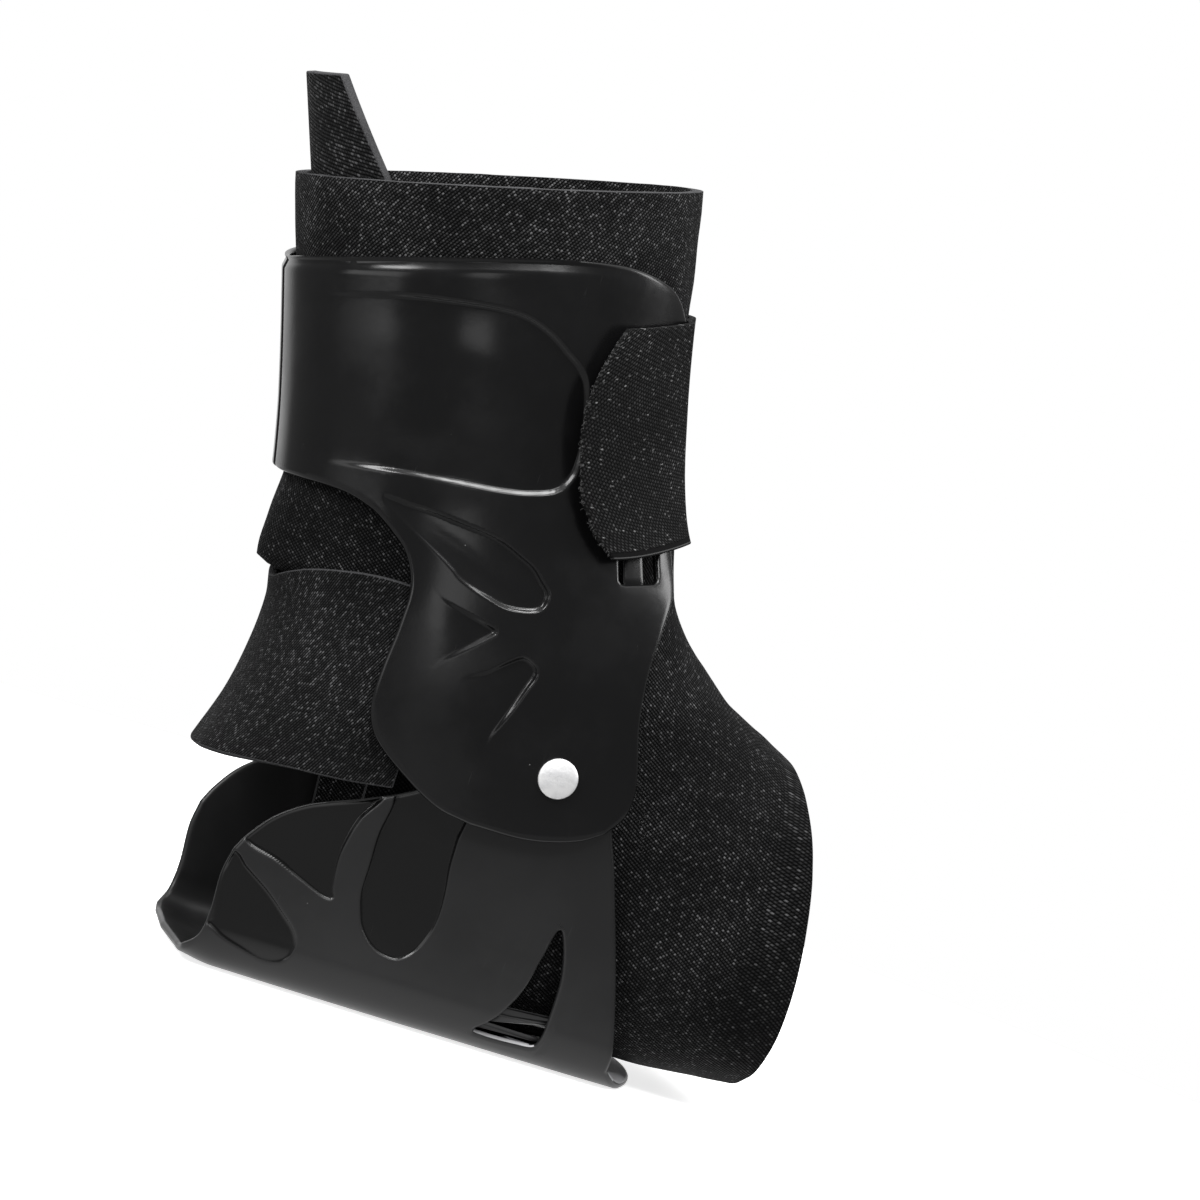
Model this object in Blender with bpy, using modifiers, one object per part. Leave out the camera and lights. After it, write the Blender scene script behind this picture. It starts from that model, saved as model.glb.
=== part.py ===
# Hinged ankle brace: a foam sleeve, a moulded cuff and a moulded stirrup on two rivets, and a strap.
# Metres. +X points to the toes, +Z up, and the outer side of the ankle is at -Y.
# The origin is on the underside of the stirrup, straight below the rivets.
import math

import bmesh
import bpy
from mathutils import Vector

# Walls and the gap between pieces
CLEARANCE = 0.0004
FOAM = 0.003
CUFF_WALL = 0.0024
STIRRUP_WALL = 0.0022
STRAP_WALL = 0.0017
BAND_WALL = 0.0025
TAB_WALL = 0.003

# The leg, whose axis leans back. Heights along it are measured from the rivets
LEG_LEAN = math.radians(16)
LEG_HEIGHT = 0.1525
LEG_DEPTH = 0.1062
LEG_WIDTH = 0.087
LEG_SET_BACK = 0.0148
ANKLE_WIDTH = 0.0826

# The foot part of the sleeve
RIVET_HEIGHT = 0.077
FOOT_REACH = 0.081
FOOT_WIDTH = 0.093
INSTEP_HEIGHT = 0.0975
HEEL_REACH = 0.082
TOE_BULGE = 0.0055
TOE_START = 0.86

# The rear edge of the sleeve flares out between these heights, and this far round in radians
EDGE_FLARE = 0.007
FLARE_START = (0.080, 0.102)
FLARE_FADE = (0.112, 0.127)
FLARE_SPREAD = 0.32

# The cuff
CUFF_TOP = 0.1347
CUFF_WAIST = 0.0745
LOBE_DROP = 0.0172
GROOVE_DEPTH = 0.0009
RELIEF_DEPTH = 0.0011
GROOVE_ANGLES = (0.8, 2.6)
RELIEF_ANGLES = (26, 126)
SLOT_WIDTH = 0.003
REAR_SLOT_WIDTH = 0.0015
SLOT_LENGTH = 0.0679
SLOT_AHEAD = 0.026
SLOT_BAR = 0.010
SLOT_BELOW = 0.0075

# The stirrup
STIRRUP_BACK = 0.0755
STIRRUP_FRONT = 0.041
STIRRUP_NOSE = 0.0145
STIRRUP_LIP = 0.0022
HEEL_NARROWING = 0.0055
FRONT_WIDENING = 0.0012
CORNER_RADIUS = 0.013
SIDE_FLARE = 0.005
EAR_RADIUS = 0.0165
EAR_ANGLES = (160, 130, 100, 70, 40, 10)
SOLE_TAIL = 0.002
STIRRUP_RELIEF_DEPTH = 0.001

# The rivets
RIVET_HEAD = 0.0107
RIVET_DOME = 0.0017
RIVET_RIM = 0.0004
RIVET_SHANK = 0.0046
RIVET_TAIL = 0.001

# The strap. Angles run round the leg from the back, in degrees
STRAP_WIDTH = 0.060
STRAP_MIDDLE = 0.088
STRAP_RISE = 0.0009
STRAP_LIFT = 0.0028
STRAP_END = 109.5
STRAP_TIP = 22
STRAP_TIP_POWER = 3.2
LIFT_ENDS = 150
CUFF_ENDS = (155, 177)

# The heel band and the pull tab
BAND_FRONT = 0.0395
BAND_CENTRE = 0.305
BAND_ENDS = 1.03
BAND_SQUARENESS = 2.2
TAB_HEIGHT = 0.0265
TAB_WIDTH = 0.036
TAB_START = math.radians(-7)
TAB_BELOW = 0.8
TAB_TAPER = 0.34
TAB_LEAN = 0.0025

# The sleeve's sections. On the leg: height as a share of LEG_HEIGHT, front and back as shares of
# LEG_DEPTH from the leg's middle, width as a share of LEG_WIDTH.
LEG_SECTIONS = (
    # height, front, back, width, squareness
    (1.0, 0.524, 0.503, 1.0, 2.1),
    (0.852, 0.507, 0.494, 0.99, 2.1),
    (0.623, 0.49, 0.488, 0.966, 2.1),
    (0.459, 0.495, 0.494, 0.947, 2.15),
)
# On the foot: the upper point as shares of FOOT_REACH and INSTEP_HEIGHT, the lower point as shares of
# HEEL_REACH and RIVET_HEIGHT, width as a share of ANKLE_WIDTH.
ANKLE_SECTIONS = (
    # upper forward, upper height, lower back, lower height, width, squareness
    (0.309, 1.334, 0.93, 1.36, 0.945, 2.1),
    (0.400, 1.229, 0.91, 0.92, 0.965, 2.1),
    (0.494, 1.160, 0.850, 0.46, 0.99, 2.2),
    (0.593, 1.100, 0.600, 0.085, 0.955, 2.35),
    (0.691, 1.055, 0.060, 0.039, 0.935, 2.4),
)
# Ahead of the stirrup: both points as shares of FOOT_REACH and INSTEP_HEIGHT, width of FOOT_WIDTH.
FOOT_SECTIONS = (
    # upper forward, upper height, lower forward, lower height, width, squareness
    (0.772, 1.022, 0.469, 0.040, 0.895, 2.4),
    (0.829, 1.0, 0.988, 0.072, 1.0, 2.6),
)
SLEEVE_ROWS = 22
SLEEVE_COLUMNS = 28

# The heel is bare: the sleeve ends behind along this outline, from the leg's rear edge to the sole.
# Backwards as a share of HEEL_REACH, height of RIVET_HEIGHT.
BARE_HEEL = (
    # back, height
    (1.5, 1.33),
    (0.95, 1.325),
    (0.80, 1.30),
    (0.70, 1.22),
    (0.60, 1.08),
    (0.55, 0.88),
    (0.54, 0.65),
    (0.52, 0.35),
    (0.50, 0.1),
    (0.48, -0.2),
    (1.5, -0.2),
)

# The cuff's outlines. The angle runs round the leg from 0 at the back to 180 at the front.
CUFF_TOP_EDGE = (
    # angle, height as a share of CUFF_TOP
    (0, 0.968),
    (33, 0.983),
    (66, 0.995),
    (100, 1.0),
    (123, 0.992),
    (136, 0.971),
    (147, 0.934),
    (154, 0.878),
)
CUFF_WAIST_EDGE = (
    # angle, height as a share of CUFF_WAIST
    (0, 1.0),
    (21, 0.987),
    (36, 0.962),
    (45.6, 0.909),
    (51, 0.85),
)
WAIST_FRONT = (146, 0.79)
LOBE_BACK_EDGE = (
    # angle, height as a share of CUFF_WAIST
    (51, 0.85),
    (55.8, 0.772),
    (57, 0.662),
    (53.7, 0.536),
    (48, 0.361),
    (45.5, 0.236),
    (46.4, 0.126),
    (52.7, -0.002),
    (61, -0.115),
    (70, -0.172),
)
LOBE_FRONT_EDGE = (
    # angle, height as a share of CUFF_WAIST
    (146, 0.79),
    (140.5, 0.656),
    (132.3, 0.522),
    (124.3, 0.365),
    (120.1, 0.19),
    (119, -0.035),
    (116.5, -0.135),
    (111, -0.2),
)
LOBE_LOW_EDGE = (
    # angle, height as a share of LOBE_DROP below the rivets
    (70, -0.745),
    (84, -0.94),
    (94, -1.0),
    (104, -0.975),
    (111, -0.866),
)
# Where the lobe starts, as a share of the way round, and the columns of points up to there and beyond
CORNER_SHARE = 0.35
GROOVE_COLUMNS = (0.0, 0.008, 0.018)
REAR_COLUMNS = 5
FRONT_COLUMNS = 9
CUFF_ROWS = 8
LOBE_ROWS = 9
WAIST_CURVE = 0.7

# The cuff's own sections: height as a share of CUFF_WAIST, how far its middle and its half depth move from
# the leg's, as shares of LEG_SET_BACK, how far the wall stands off the sleeve at the side as a share of
# the stirrup's room, and squareness.
CUFF_SECTIONS = (
    # height, forward, deeper, stand off, squareness
    (1.9, 0.0, 0.0, 0.0, 2.1),
    (1.27, 0.0, 0.0, 0.0, 2.15),
    (1.0, 0.0, 0.02, 0.03, 2.2),
    (0.8, 0.05, 0.12, 0.2, 2.3),
    (0.577, 0.25, 0.42, 0.62, 2.6),
    (0.30, 0.53, 0.75, 1.0, 2.9),
    (0.0, 0.66, 0.8, 1.0, 3.3),
    (-0.4, 0.66, 0.8, 1.0, 3.3),
)

# The relief moulded into the cuff's sides, in the leg's own axes from the rivet: forward as a share of
# LEG_DEPTH and height as a share of CUFF_WAIST. Each recess fades out backwards between two of its shares.
CUFF_RELIEF = {
    "broad_panel": {
        "fade": (-0.52, -0.30),
        "outline": (
            (-0.56, 1.645), (-0.42, 1.658), (-0.31, 1.65), (-0.20, 1.632), (-0.126, 1.604),
            (-0.064, 1.548), (-0.02, 1.485), (0.015, 1.43), (0.034, 1.36), (0.034, 1.2),
            (0.02, 1.09), (0.0, 1.035), (-0.035, 1.0), (-0.10, 0.992), (-0.16, 0.998),
            (-0.21, 1.008), (-0.28, 1.024), (-0.34, 1.036), (-0.42, 1.05), (-0.56, 1.06),
        ),
    },
    "leaf": {
        "fade": (-0.42, -0.27),
        "outline": (
            (-0.44, 0.945), (-0.376, 0.93), (-0.316, 0.906), (-0.258, 0.877), (-0.195, 0.844),
            (-0.152, 0.812), (-0.111, 0.768), (-0.08, 0.731), (-0.058, 0.683), (-0.043, 0.648),
            (-0.046, 0.615), (-0.06, 0.59), (-0.093, 0.583), (-0.146, 0.593), (-0.189, 0.623),
            (-0.229, 0.655), (-0.264, 0.691), (-0.292, 0.738),
        ),
    },
    "short_wedge": {
        "fade": (-0.28, -0.21),
        "outline": (
            (-0.29, 0.60), (-0.268, 0.586), (-0.182, 0.524), (-0.17, 0.508), (-0.182, 0.493),
            (-0.257, 0.435), (-0.28, 0.42),
        ),
    },
    "long_wedge": {
        "fade": (-0.25, -0.16),
        "outline": (
            (-0.26, 0.31), (-0.182, 0.368), (-0.125, 0.408), (-0.096, 0.418), (-0.07, 0.392),
            (-0.066, 0.36), (-0.088, 0.312), (-0.125, 0.234), (-0.166, 0.157), (-0.207, 0.083),
        ),
    },
}

# The stirrup's side outline: forward as a share of STIRRUP_BACK or STIRRUP_FRONT, height of RIVET_HEIGHT.
STIRRUP_BACK_EDGE = (
    # back, height
    (1.02, 0.03),
    (0.985, 0.10),
    (0.975, 0.2),
    (0.983, 0.34),
    (0.97, 0.43),
)
STIRRUP_TOP_EDGE = (
    # back, height
    (0.97, 0.43),
    (0.94, 0.49),
    (0.875, 0.577),
    (0.788, 0.645),
    (0.71, 0.683),
    (0.596, 0.731),
    (0.434, 0.816),
    (0.30, 0.93),
)
STIRRUP_FRONT_EDGE = (
    # front, height
    (0.40, 1.02),
    (0.476, 0.877),
    (0.566, 0.766),
    (0.646, 0.657),
    (0.81, 0.426),
    (0.902, 0.283),
    (0.98, 0.14),
    (1.0, 0.06),
)
STIRRUP_COLUMNS = 15
STIRRUP_ROWS = 10
# Across the sole, from its corner to its middle
SOLE_ROWS = (0.999, 0.75, 0.4, 0.0)

# The stirrup's relief and its cut-out: forward as a share of STIRRUP_BACK, height of RIVET_HEIGHT.
STIRRUP_RELIEF = {
    "rear_leaf": (
        (-1.1, 0.44), (-0.963, 0.425), (-0.905, 0.384), (-0.81, 0.327), (-0.735, 0.27), (-0.683, 0.227),
        (-0.658, 0.184), (-0.664, 0.136), (-0.693, 0.107), (-0.748, 0.097), (-0.822, 0.112),
        (-0.902, 0.131), (-0.962, 0.157), (-1.1, 0.2),
    ),
    "middle_wedge": (
        (-0.99, 0.56), (-0.939, 0.473), (-0.821, 0.439), (-0.726, 0.404), (-0.638, 0.371), (-0.599, 0.365),
        (-0.588, 0.377), (-0.604, 0.422), (-0.616, 0.51), (-0.608, 0.592), (-0.591, 0.662), (-0.54, 0.80),
        (-0.8, 0.80),
    ),
    "front_loop": (
        (-0.50, 0.86), (-0.499, 0.739), (-0.511, 0.632), (-0.506, 0.522), (-0.502, 0.423), (-0.478, 0.344),
        (-0.454, 0.297), (-0.411, 0.256), (-0.363, 0.236), (-0.305, 0.236), (-0.262, 0.274), (-0.236, 0.329),
        (-0.221, 0.401), (-0.225, 0.49), (-0.242, 0.594), (-0.248, 0.682), (-0.26, 0.86),
    ),
}
STIRRUP_CUT = (
    (0.205, 0.497), (0.235, 0.44), (0.258, 0.366), (0.269, 0.294), (0.272, 0.156), (0.266, 0.092),
    (0.252, 0.072), (0.201, 0.066), (0.139, 0.062), (0.074, 0.062), (0.036, 0.07), (0.073, 0.113),
    (0.106, 0.158), (0.14, 0.223), (0.162, 0.291), (0.172, 0.356), (0.183, 0.413), (0.19, 0.46),
)

# How far beyond a recess its cutting layer reaches, along the wall and above it
RELIEF_MARGIN = 0.004

# How far the heel band reaches back, from its low edge to its high edge, as a share of HEEL_REACH.
BAND_SECTIONS = (
    # height, back
    (0.0, 1.058),
    (0.3, 1.0),
    (0.6, 0.972),
    (0.85, 0.968),
    (1.0, 0.985),
)
# Its edges, from its ends to its back, as shares of RIVET_HEIGHT.
BAND_EDGES = (
    # share of the way back, low edge, high edge
    (0.0, 0.795, 1.440),
    (0.1, 0.795, 1.444),
    (0.25, 0.785, 1.450),
    (0.4, 0.761, 1.456),
    (0.55, 0.730, 1.462),
    (0.66, 0.707, 1.466),
    (0.72, 0.695, 1.448),
    (0.795, 0.682, 1.389),
    (0.87, 0.672, 1.331),
    (0.93, 0.667, 1.312),
    (1.0, 0.665, 1.315),
)


def clear_scene():
    for old in list(bpy.data.objects):
        bpy.data.objects.remove(old, do_unlink=True)


def collection(name):
    made = bpy.data.collections.new(name)
    bpy.context.scene.collection.children.link(made)
    return made


def material(name, colour, roughness, metallic=0.0):
    made = bpy.data.materials.new(name)
    made.use_nodes = True
    shader = made.node_tree.nodes["Principled BSDF"]
    shader.inputs["Base Color"].default_value = (*colour, 1)
    shader.inputs["Roughness"].default_value = roughness
    shader.inputs["Metallic"].default_value = metallic
    return made


def smooth_step(low, high, value):
    share = min(1.0, max(0.0, (value - low) / (high - low)))
    return share * share * (3 - 2 * share)


def follow(points, share):
    """The point at that share of a smooth curve through the points, which are tuples of any length."""
    steps = [max(1e-9, math.dist(a, b)) for a, b in zip(points, points[1:])]
    along = min(1.0, max(0.0, share)) * sum(steps)
    last = len(steps) - 1
    for index, step in enumerate(steps):
        if along <= step or index == last:
            break
        along -= step
    near, far, t = points[index], points[index + 1], min(1.0, along / step)

    def slope(at):
        low, high = max(0, at - 1), min(len(points) - 1, at + 1)
        span = sum(steps[low:high])
        return [(b - a) / span * step for a, b in zip(points[low], points[high])]

    start, end = slope(index), slope(index + 1)
    shares = (2 * t**3 - 3 * t**2 + 1, t**3 - 2 * t**2 + t, 3 * t**2 - 2 * t**3, t**3 - t**2)
    return tuple(
        shares[0] * a + shares[1] * m + shares[2] * b + shares[3] * n
        for a, m, b, n in zip(near, start, far, end)
    )


def read_row(rows, value):
    """The columns of a table, blended smoothly, where its first column has that value."""
    ordered = sorted(rows)
    value = min(ordered[-1][0], max(ordered[0][0], value))
    for low, high in zip(ordered, ordered[1:]):
        if value <= high[0]:
            break
    t = smooth_step(low[0], high[0], value) * 0.5 + 0.5 * (value - low[0]) / (high[0] - low[0])
    return tuple(a + (b - a) * t for a, b in zip(low[1:], high[1:]))


def leg_point(forward, side, height):
    """A point given in the leg's leaning axes, from the middle of the rivets' line."""
    return Vector(
        (
            forward * math.cos(LEG_LEAN) - height * math.sin(LEG_LEAN),
            side,
            RIVET_HEIGHT + forward * math.sin(LEG_LEAN) + height * math.cos(LEG_LEAN),
        )
    )


def reach(angle, depth, width, squareness):
    """How far an oval with corners reaches from its middle, at that angle."""
    along, across = abs(math.cos(angle)) / depth, abs(math.sin(angle)) / width
    return (along**squareness + across**squareness) ** (-1 / squareness)


def sheet(name, patches, finish, into, closed=False):
    """An open surface made of grids of points, joined where they meet."""
    mesh = bmesh.new()
    for rows in patches:
        made = [[mesh.verts.new(point) for point in row] for row in rows]
        for upper, lower in zip(made, made[1:]):
            columns = list(range(len(upper)))
            pairs = zip(columns, columns[1:] + ([0] if closed else []))
            for left, right in pairs:
                mesh.faces.new((upper[left], lower[left], lower[right], upper[right]))
    bmesh.ops.remove_doubles(mesh, verts=mesh.verts, dist=1e-6)
    data = bpy.data.meshes.new(name)
    mesh.to_mesh(data)
    mesh.free()
    data.shade_smooth()
    data.set_sharp_from_angle(angle=math.radians(40))
    data.materials.append(finish)
    made = bpy.data.objects.new(name, data)
    into.objects.link(made)
    return made


def mirror(piece):
    modifier = piece.modifiers.new("Other side", "MIRROR")
    modifier.use_axis = (False, True, False)
    modifier.use_clip = True
    modifier.merge_threshold = 0.00005


def thicken(piece, wall, offset=-1.0):
    modifier = piece.modifiers.new("Wall", "SOLIDIFY")
    modifier.thickness = wall
    modifier.offset = offset
    modifier.use_even_offset = True


def boolean(piece, other, operation):
    modifier = piece.modifiers.new(operation.title() + " " + other.name, "BOOLEAN")
    modifier.operation = operation
    modifier.object = other
    modifier.solver = "EXACT"


def prism(name, outline, low, high, cutters):
    """The flat outline, in forward and upward metres, carried across from one side to the other."""
    mesh = bmesh.new()
    face = mesh.faces.new([mesh.verts.new((x, low, z)) for x, z in outline])
    grown = bmesh.ops.extrude_face_region(mesh, geom=[face])["geom"]
    moved = [item for item in grown if isinstance(item, bmesh.types.BMVert)]
    bmesh.ops.translate(mesh, verts=moved, vec=(0, high - low, 0))
    return cutter(name, mesh, cutters)


def cutter(name, mesh, cutters):
    mesh.normal_update()
    bmesh.ops.recalc_face_normals(mesh, faces=mesh.faces)
    data = bpy.data.meshes.new(name)
    mesh.to_mesh(data)
    mesh.free()
    made = bpy.data.objects.new(name, data)
    made.hide_render = True
    made.display_type = "WIRE"
    cutters.objects.link(made)
    return made


def rivet_cutter(name, cutters):
    """A cylinder across the whole ankle on the rivets' axis, a gap wider than their shanks."""
    mesh = bmesh.new()
    radius, length = RIVET_SHANK / 2 + CLEARANCE, 2 * LEG_WIDTH
    bmesh.ops.create_cone(mesh, cap_ends=True, segments=24, radius1=radius, radius2=radius, depth=length)
    for vertex in mesh.verts:
        x, y, z = vertex.co
        vertex.co = (x, z, RIVET_HEIGHT + y)
    return cutter(name, mesh, cutters)


def rounded(points, count):
    """The closed outline read off a smooth curve through its points."""
    return [follow((*points, points[0]), step / count) for step in range(count)]


# What several pieces share


def stirrup_inside():
    """Half the stirrup's inner width at the rivets: the sleeve, the rivet's tail and the gaps beside it."""
    return ANKLE_WIDTH / 2 + 2 * CLEARANCE + RIVET_TAIL


def stirrup_outside():
    return stirrup_inside() + STIRRUP_WALL


def cuff_outside():
    """Half the cuff's width over its lobes, which lie outside the stirrup's ears."""
    return stirrup_outside() + 2 * CLEARANCE + CUFF_WALL


def leg_section(height):
    """The sleeve's section across the leg: half depth ahead and behind, half width and squareness."""
    share = height / LEG_HEIGHT
    front, back, width, squareness = read_row(LEG_SECTIONS, share)
    return LEG_DEPTH * front, LEG_DEPTH * back, LEG_WIDTH * width / 2, squareness


# The sleeve


def sleeve_rows():
    """The sleeve's sections from the leg to the toes: front point, back point, half width, squareness."""
    rows = []
    for height, front, back, width, squareness in LEG_SECTIONS:
        ahead = leg_point(-LEG_SET_BACK + LEG_DEPTH * front, 0, LEG_HEIGHT * height)
        behind = leg_point(-LEG_SET_BACK - LEG_DEPTH * back, 0, LEG_HEIGHT * height)
        rows.append((ahead.x, ahead.z, behind.x, behind.z, LEG_WIDTH * width / 2, squareness))
    for forward, up, back, low, width, squareness in ANKLE_SECTIONS:
        rows.append(
            (
                FOOT_REACH * forward,
                INSTEP_HEIGHT * up,
                -HEEL_REACH * back,
                RIVET_HEIGHT * low,
                ANKLE_WIDTH * width / 2,
                squareness,
            )
        )
    for forward, up, lower, low, width, squareness in FOOT_SECTIONS:
        rows.append(
            (
                FOOT_REACH * forward,
                INSTEP_HEIGHT * up,
                FOOT_REACH * lower,
                INSTEP_HEIGHT * low,
                FOOT_WIDTH * width / 2,
                squareness,
            )
        )
    return rows


def sleeve_point(share, angle):
    """A point of the sleeve's outer face: share runs from the leg to the toes, angle from the back."""
    rows = sleeve_rows()
    ahead_x, ahead_z, behind_x, behind_z, width, squareness = follow(rows, share)
    middle = Vector(((ahead_x + behind_x) / 2, 0, (ahead_z + behind_z) / 2))
    axis = Vector((ahead_x - behind_x, 0, ahead_z - behind_z)) / 2
    depth = axis.length
    out = reach(angle, depth, width, squareness)
    turned = math.atan2(math.sin(angle), math.cos(angle))
    flare = smooth_step(*FLARE_START, behind_z) * (1 - smooth_step(*FLARE_FADE, behind_z))
    flare *= EDGE_FLARE * math.exp(-((turned / FLARE_SPREAD) ** 2))
    point = middle - axis / depth * math.cos(angle) * (out + flare)
    point.y = -math.sin(angle) * out
    toe = smooth_step(TOE_START, 1.0, share) * math.sin(angle) ** 2
    point.x += TOE_BULGE * toe
    return point


def make_sleeve(finish, parts, cutters):
    rows = [
        [
            sleeve_point(row / (SLEEVE_ROWS - 1), 2 * math.pi * column / SLEEVE_COLUMNS)
            for column in range(SLEEVE_COLUMNS)
        ]
        for row in range(SLEEVE_ROWS)
    ]
    sleeve = sheet("sleeve", [rows], finish, parts, closed=True)
    thicken(sleeve, FOAM)
    opening = [(-HEEL_REACH * back, RIVET_HEIGHT * height) for back, height in BARE_HEEL]
    boolean(sleeve, prism("bare_heel", opening, -ANKLE_WIDTH, ANKLE_WIDTH, cutters), "DIFFERENCE")
    return sleeve


# The cuff


def cuff_surface(angle_degrees, height, lift=0.0):
    """A point on the cuff's outer face, raised by lift."""
    angle = math.radians(angle_degrees)
    front, back, width, _ = leg_section(height)
    forward, deeper, stand_off, squareness = read_row(CUFF_SECTIONS, height / CUFF_WAIST)
    wall = CLEARANCE + CUFF_WALL
    half_width = width + wall
    half_width += (cuff_outside() - half_width) * stand_off
    half_depth = (front if angle > math.pi / 2 else back + GROOVE_DEPTH) + wall + LEG_SET_BACK * deeper
    groove = GROOVE_DEPTH * (1 - smooth_step(*GROOVE_ANGLES, angle_degrees))
    out = reach(angle, half_depth, half_width, squareness) + lift - groove
    middle = -LEG_SET_BACK * (1 - forward)
    return leg_point(middle - out * math.cos(angle), -out * math.sin(angle), height)


def in_millimetres(points, size):
    return tuple((angle, height * size * 1000) for angle, height in points)


def cuff_grids():
    """The upper band and the lobe below it, as grids of points on one side."""
    column_shares = list(GROOVE_COLUMNS) + span(GROOVE_COLUMNS[-1], CORNER_SHARE, REAR_COLUMNS + 1)[1:]
    column_shares += span(CORNER_SHARE, 1, FRONT_COLUMNS + 1)[1:]
    top = in_millimetres(CUFF_TOP_EDGE, CUFF_TOP)
    waist = in_millimetres(CUFF_WAIST_EDGE, CUFF_WAIST)
    front_angle, front_height = in_millimetres((WAIST_FRONT,), CUFF_WAIST)[0]

    def top_at(share):
        angle = top[-1][0] * share
        return angle, height_on(top, angle)

    def waist_at(share):
        if share <= CORNER_SHARE:
            angle = waist[-1][0] * share / CORNER_SHARE
            return angle, height_on(waist, angle)
        t = (share - CORNER_SHARE) / (1 - CORNER_SHARE)
        angle, height = waist[-1]
        return angle + (front_angle - angle) * t, height + (front_height - height) * t**WAIST_CURVE

    upper = []
    for row in range(CUFF_ROWS + 1):
        v = row / CUFF_ROWS
        line = []
        for share in column_shares:
            (a0, h0), (a1, h1) = top_at(share), waist_at(share)
            line.append(place((a0 + (a1 - a0) * v**2, h0 + (h1 - h0) * v)))
        upper.append(line)
    lobe_shares = [s for s in column_shares if s >= CORNER_SHARE - 1e-9]
    back = in_millimetres(LOBE_BACK_EDGE, CUFF_WAIST)
    front = in_millimetres(LOBE_FRONT_EDGE, CUFF_WAIST)
    low_edge = in_millimetres(LOBE_LOW_EDGE, LOBE_DROP)
    back, front = (*back[:-1], low_edge[0]), (*front[:-1], low_edge[-1])
    lobe = []
    for row in range(LOBE_ROWS + 1):
        v = row / LOBE_ROWS
        line = []
        for share in lobe_shares:
            u = (share - CORNER_SHARE) / (1 - CORNER_SHARE)
            sides = (waist_at(share), follow(low_edge, u), follow(back, v), follow(front, v))
            line.append(place(coons(*sides, back, front, u, v)))
        lobe.append(line)
    return [upper, lobe]


def coons(top, low, left, right, back, front, u, v):
    """A point inside four edges, each already read at this point's share."""
    corners = (back[0], front[0], back[-1], front[-1])
    return tuple(
        (1 - v) * top[i] + v * low[i] + (1 - u) * left[i] + u * right[i]
        - (1 - u) * (1 - v) * corners[0][i] - u * (1 - v) * corners[1][i]
        - (1 - u) * v * corners[2][i] - u * v * corners[3][i]
        for i in range(2)
    )


def height_on(points, angle):
    """The height of a curve that runs steadily round the leg, at that angle."""
    low, high = 0.0, 1.0
    for _ in range(30):
        middle = (low + high) / 2
        if follow(points, middle)[0] < angle:
            low = middle
        else:
            high = middle
    return follow(points, high)[1]


def place(at, lift=None):
    angle, millimetres = at
    point = cuff_surface(angle, millimetres / 1000)
    return cuff_surface(angle, millimetres / 1000, lift(point)) if lift else point


def leg_forward(point):
    """How far ahead of the rivets a point lies, in the leg's axes."""
    return point.x * math.cos(LEG_LEAN) + (point.z - RIVET_HEIGHT) * math.sin(LEG_LEAN)


def span(low, high, count):
    return [low + (high - low) * step / (count - 1) for step in range(count)]


def cut_relief(target, name, grid, outline, depth, finish, cutters):
    """A recess: a layer from its floor to above the face, kept only inside the outline, is cut away."""
    above = RELIEF_MARGIN
    layer = sheet(name + "_layer", [grid], finish, cutters)
    layer.hide_render = True
    layer.display_type = "WIRE"
    mirror(layer)
    thicken(layer, depth + above, (above - depth) / (above + depth))
    boolean(layer, prism(name + "_outline", outline, -LEG_WIDTH, LEG_WIDTH, cutters), "INTERSECT")
    boolean(target, layer, "DIFFERENCE")


def make_cuff(finish, parts, cutters):
    cuff = sheet("cuff_shell", cuff_grids(), finish, parts)
    mirror(cuff)
    thicken(cuff, CUFF_WALL)
    for name, relief in CUFF_RELIEF.items():
        start, end = (LEG_DEPTH * share for share in relief["fade"])

        def fade(point):
            return RELIEF_DEPTH * 1.1 * (1 - smooth_step(start, end, leg_forward(point)))

        outline = []
        for forward, height in rounded(relief["outline"], 3 * len(relief["outline"]) // 2):
            at = leg_point(LEG_DEPTH * forward, 0, CUFF_WAIST * height)
            outline.append((at.x, at.z))
        heights = [CUFF_WAIST * height for _, height in relief["outline"]]
        grid = [
            [place((angle, height * 1000), fade) for angle in span(*RELIEF_ANGLES, 14)]
            for height in span(max(heights) + RELIEF_MARGIN, min(heights) - RELIEF_MARGIN, 6)
        ]
        cut_relief(cuff, name, grid, outline, RELIEF_DEPTH, finish, cutters)
    for side, where in ((-1, "outer"), (1, "inner")):
        front = slot_cutter("front_slot_" + where, side, SLOT_AHEAD, SLOT_WIDTH, cutters)
        rear = slot_cutter("rear_slot_" + where, side, SLOT_AHEAD - SLOT_BAR, REAR_SLOT_WIDTH, cutters)
        boolean(cuff, front, "DIFFERENCE")
        boolean(cuff, rear, "DIFFERENCE")
    boolean(cuff, rivet_cutter("cuff_rivet_hole", cutters), "DIFFERENCE")
    return cuff


def angle_at(forward, height):
    """The angle round the leg at which the cuff's face lies that far ahead of the rivets."""
    low, high = 60.0, 175.0
    for _ in range(30):
        middle = (low + high) / 2
        if leg_forward(cuff_surface(middle, height)) < forward:
            low = middle
        else:
            high = middle
    return high


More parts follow.
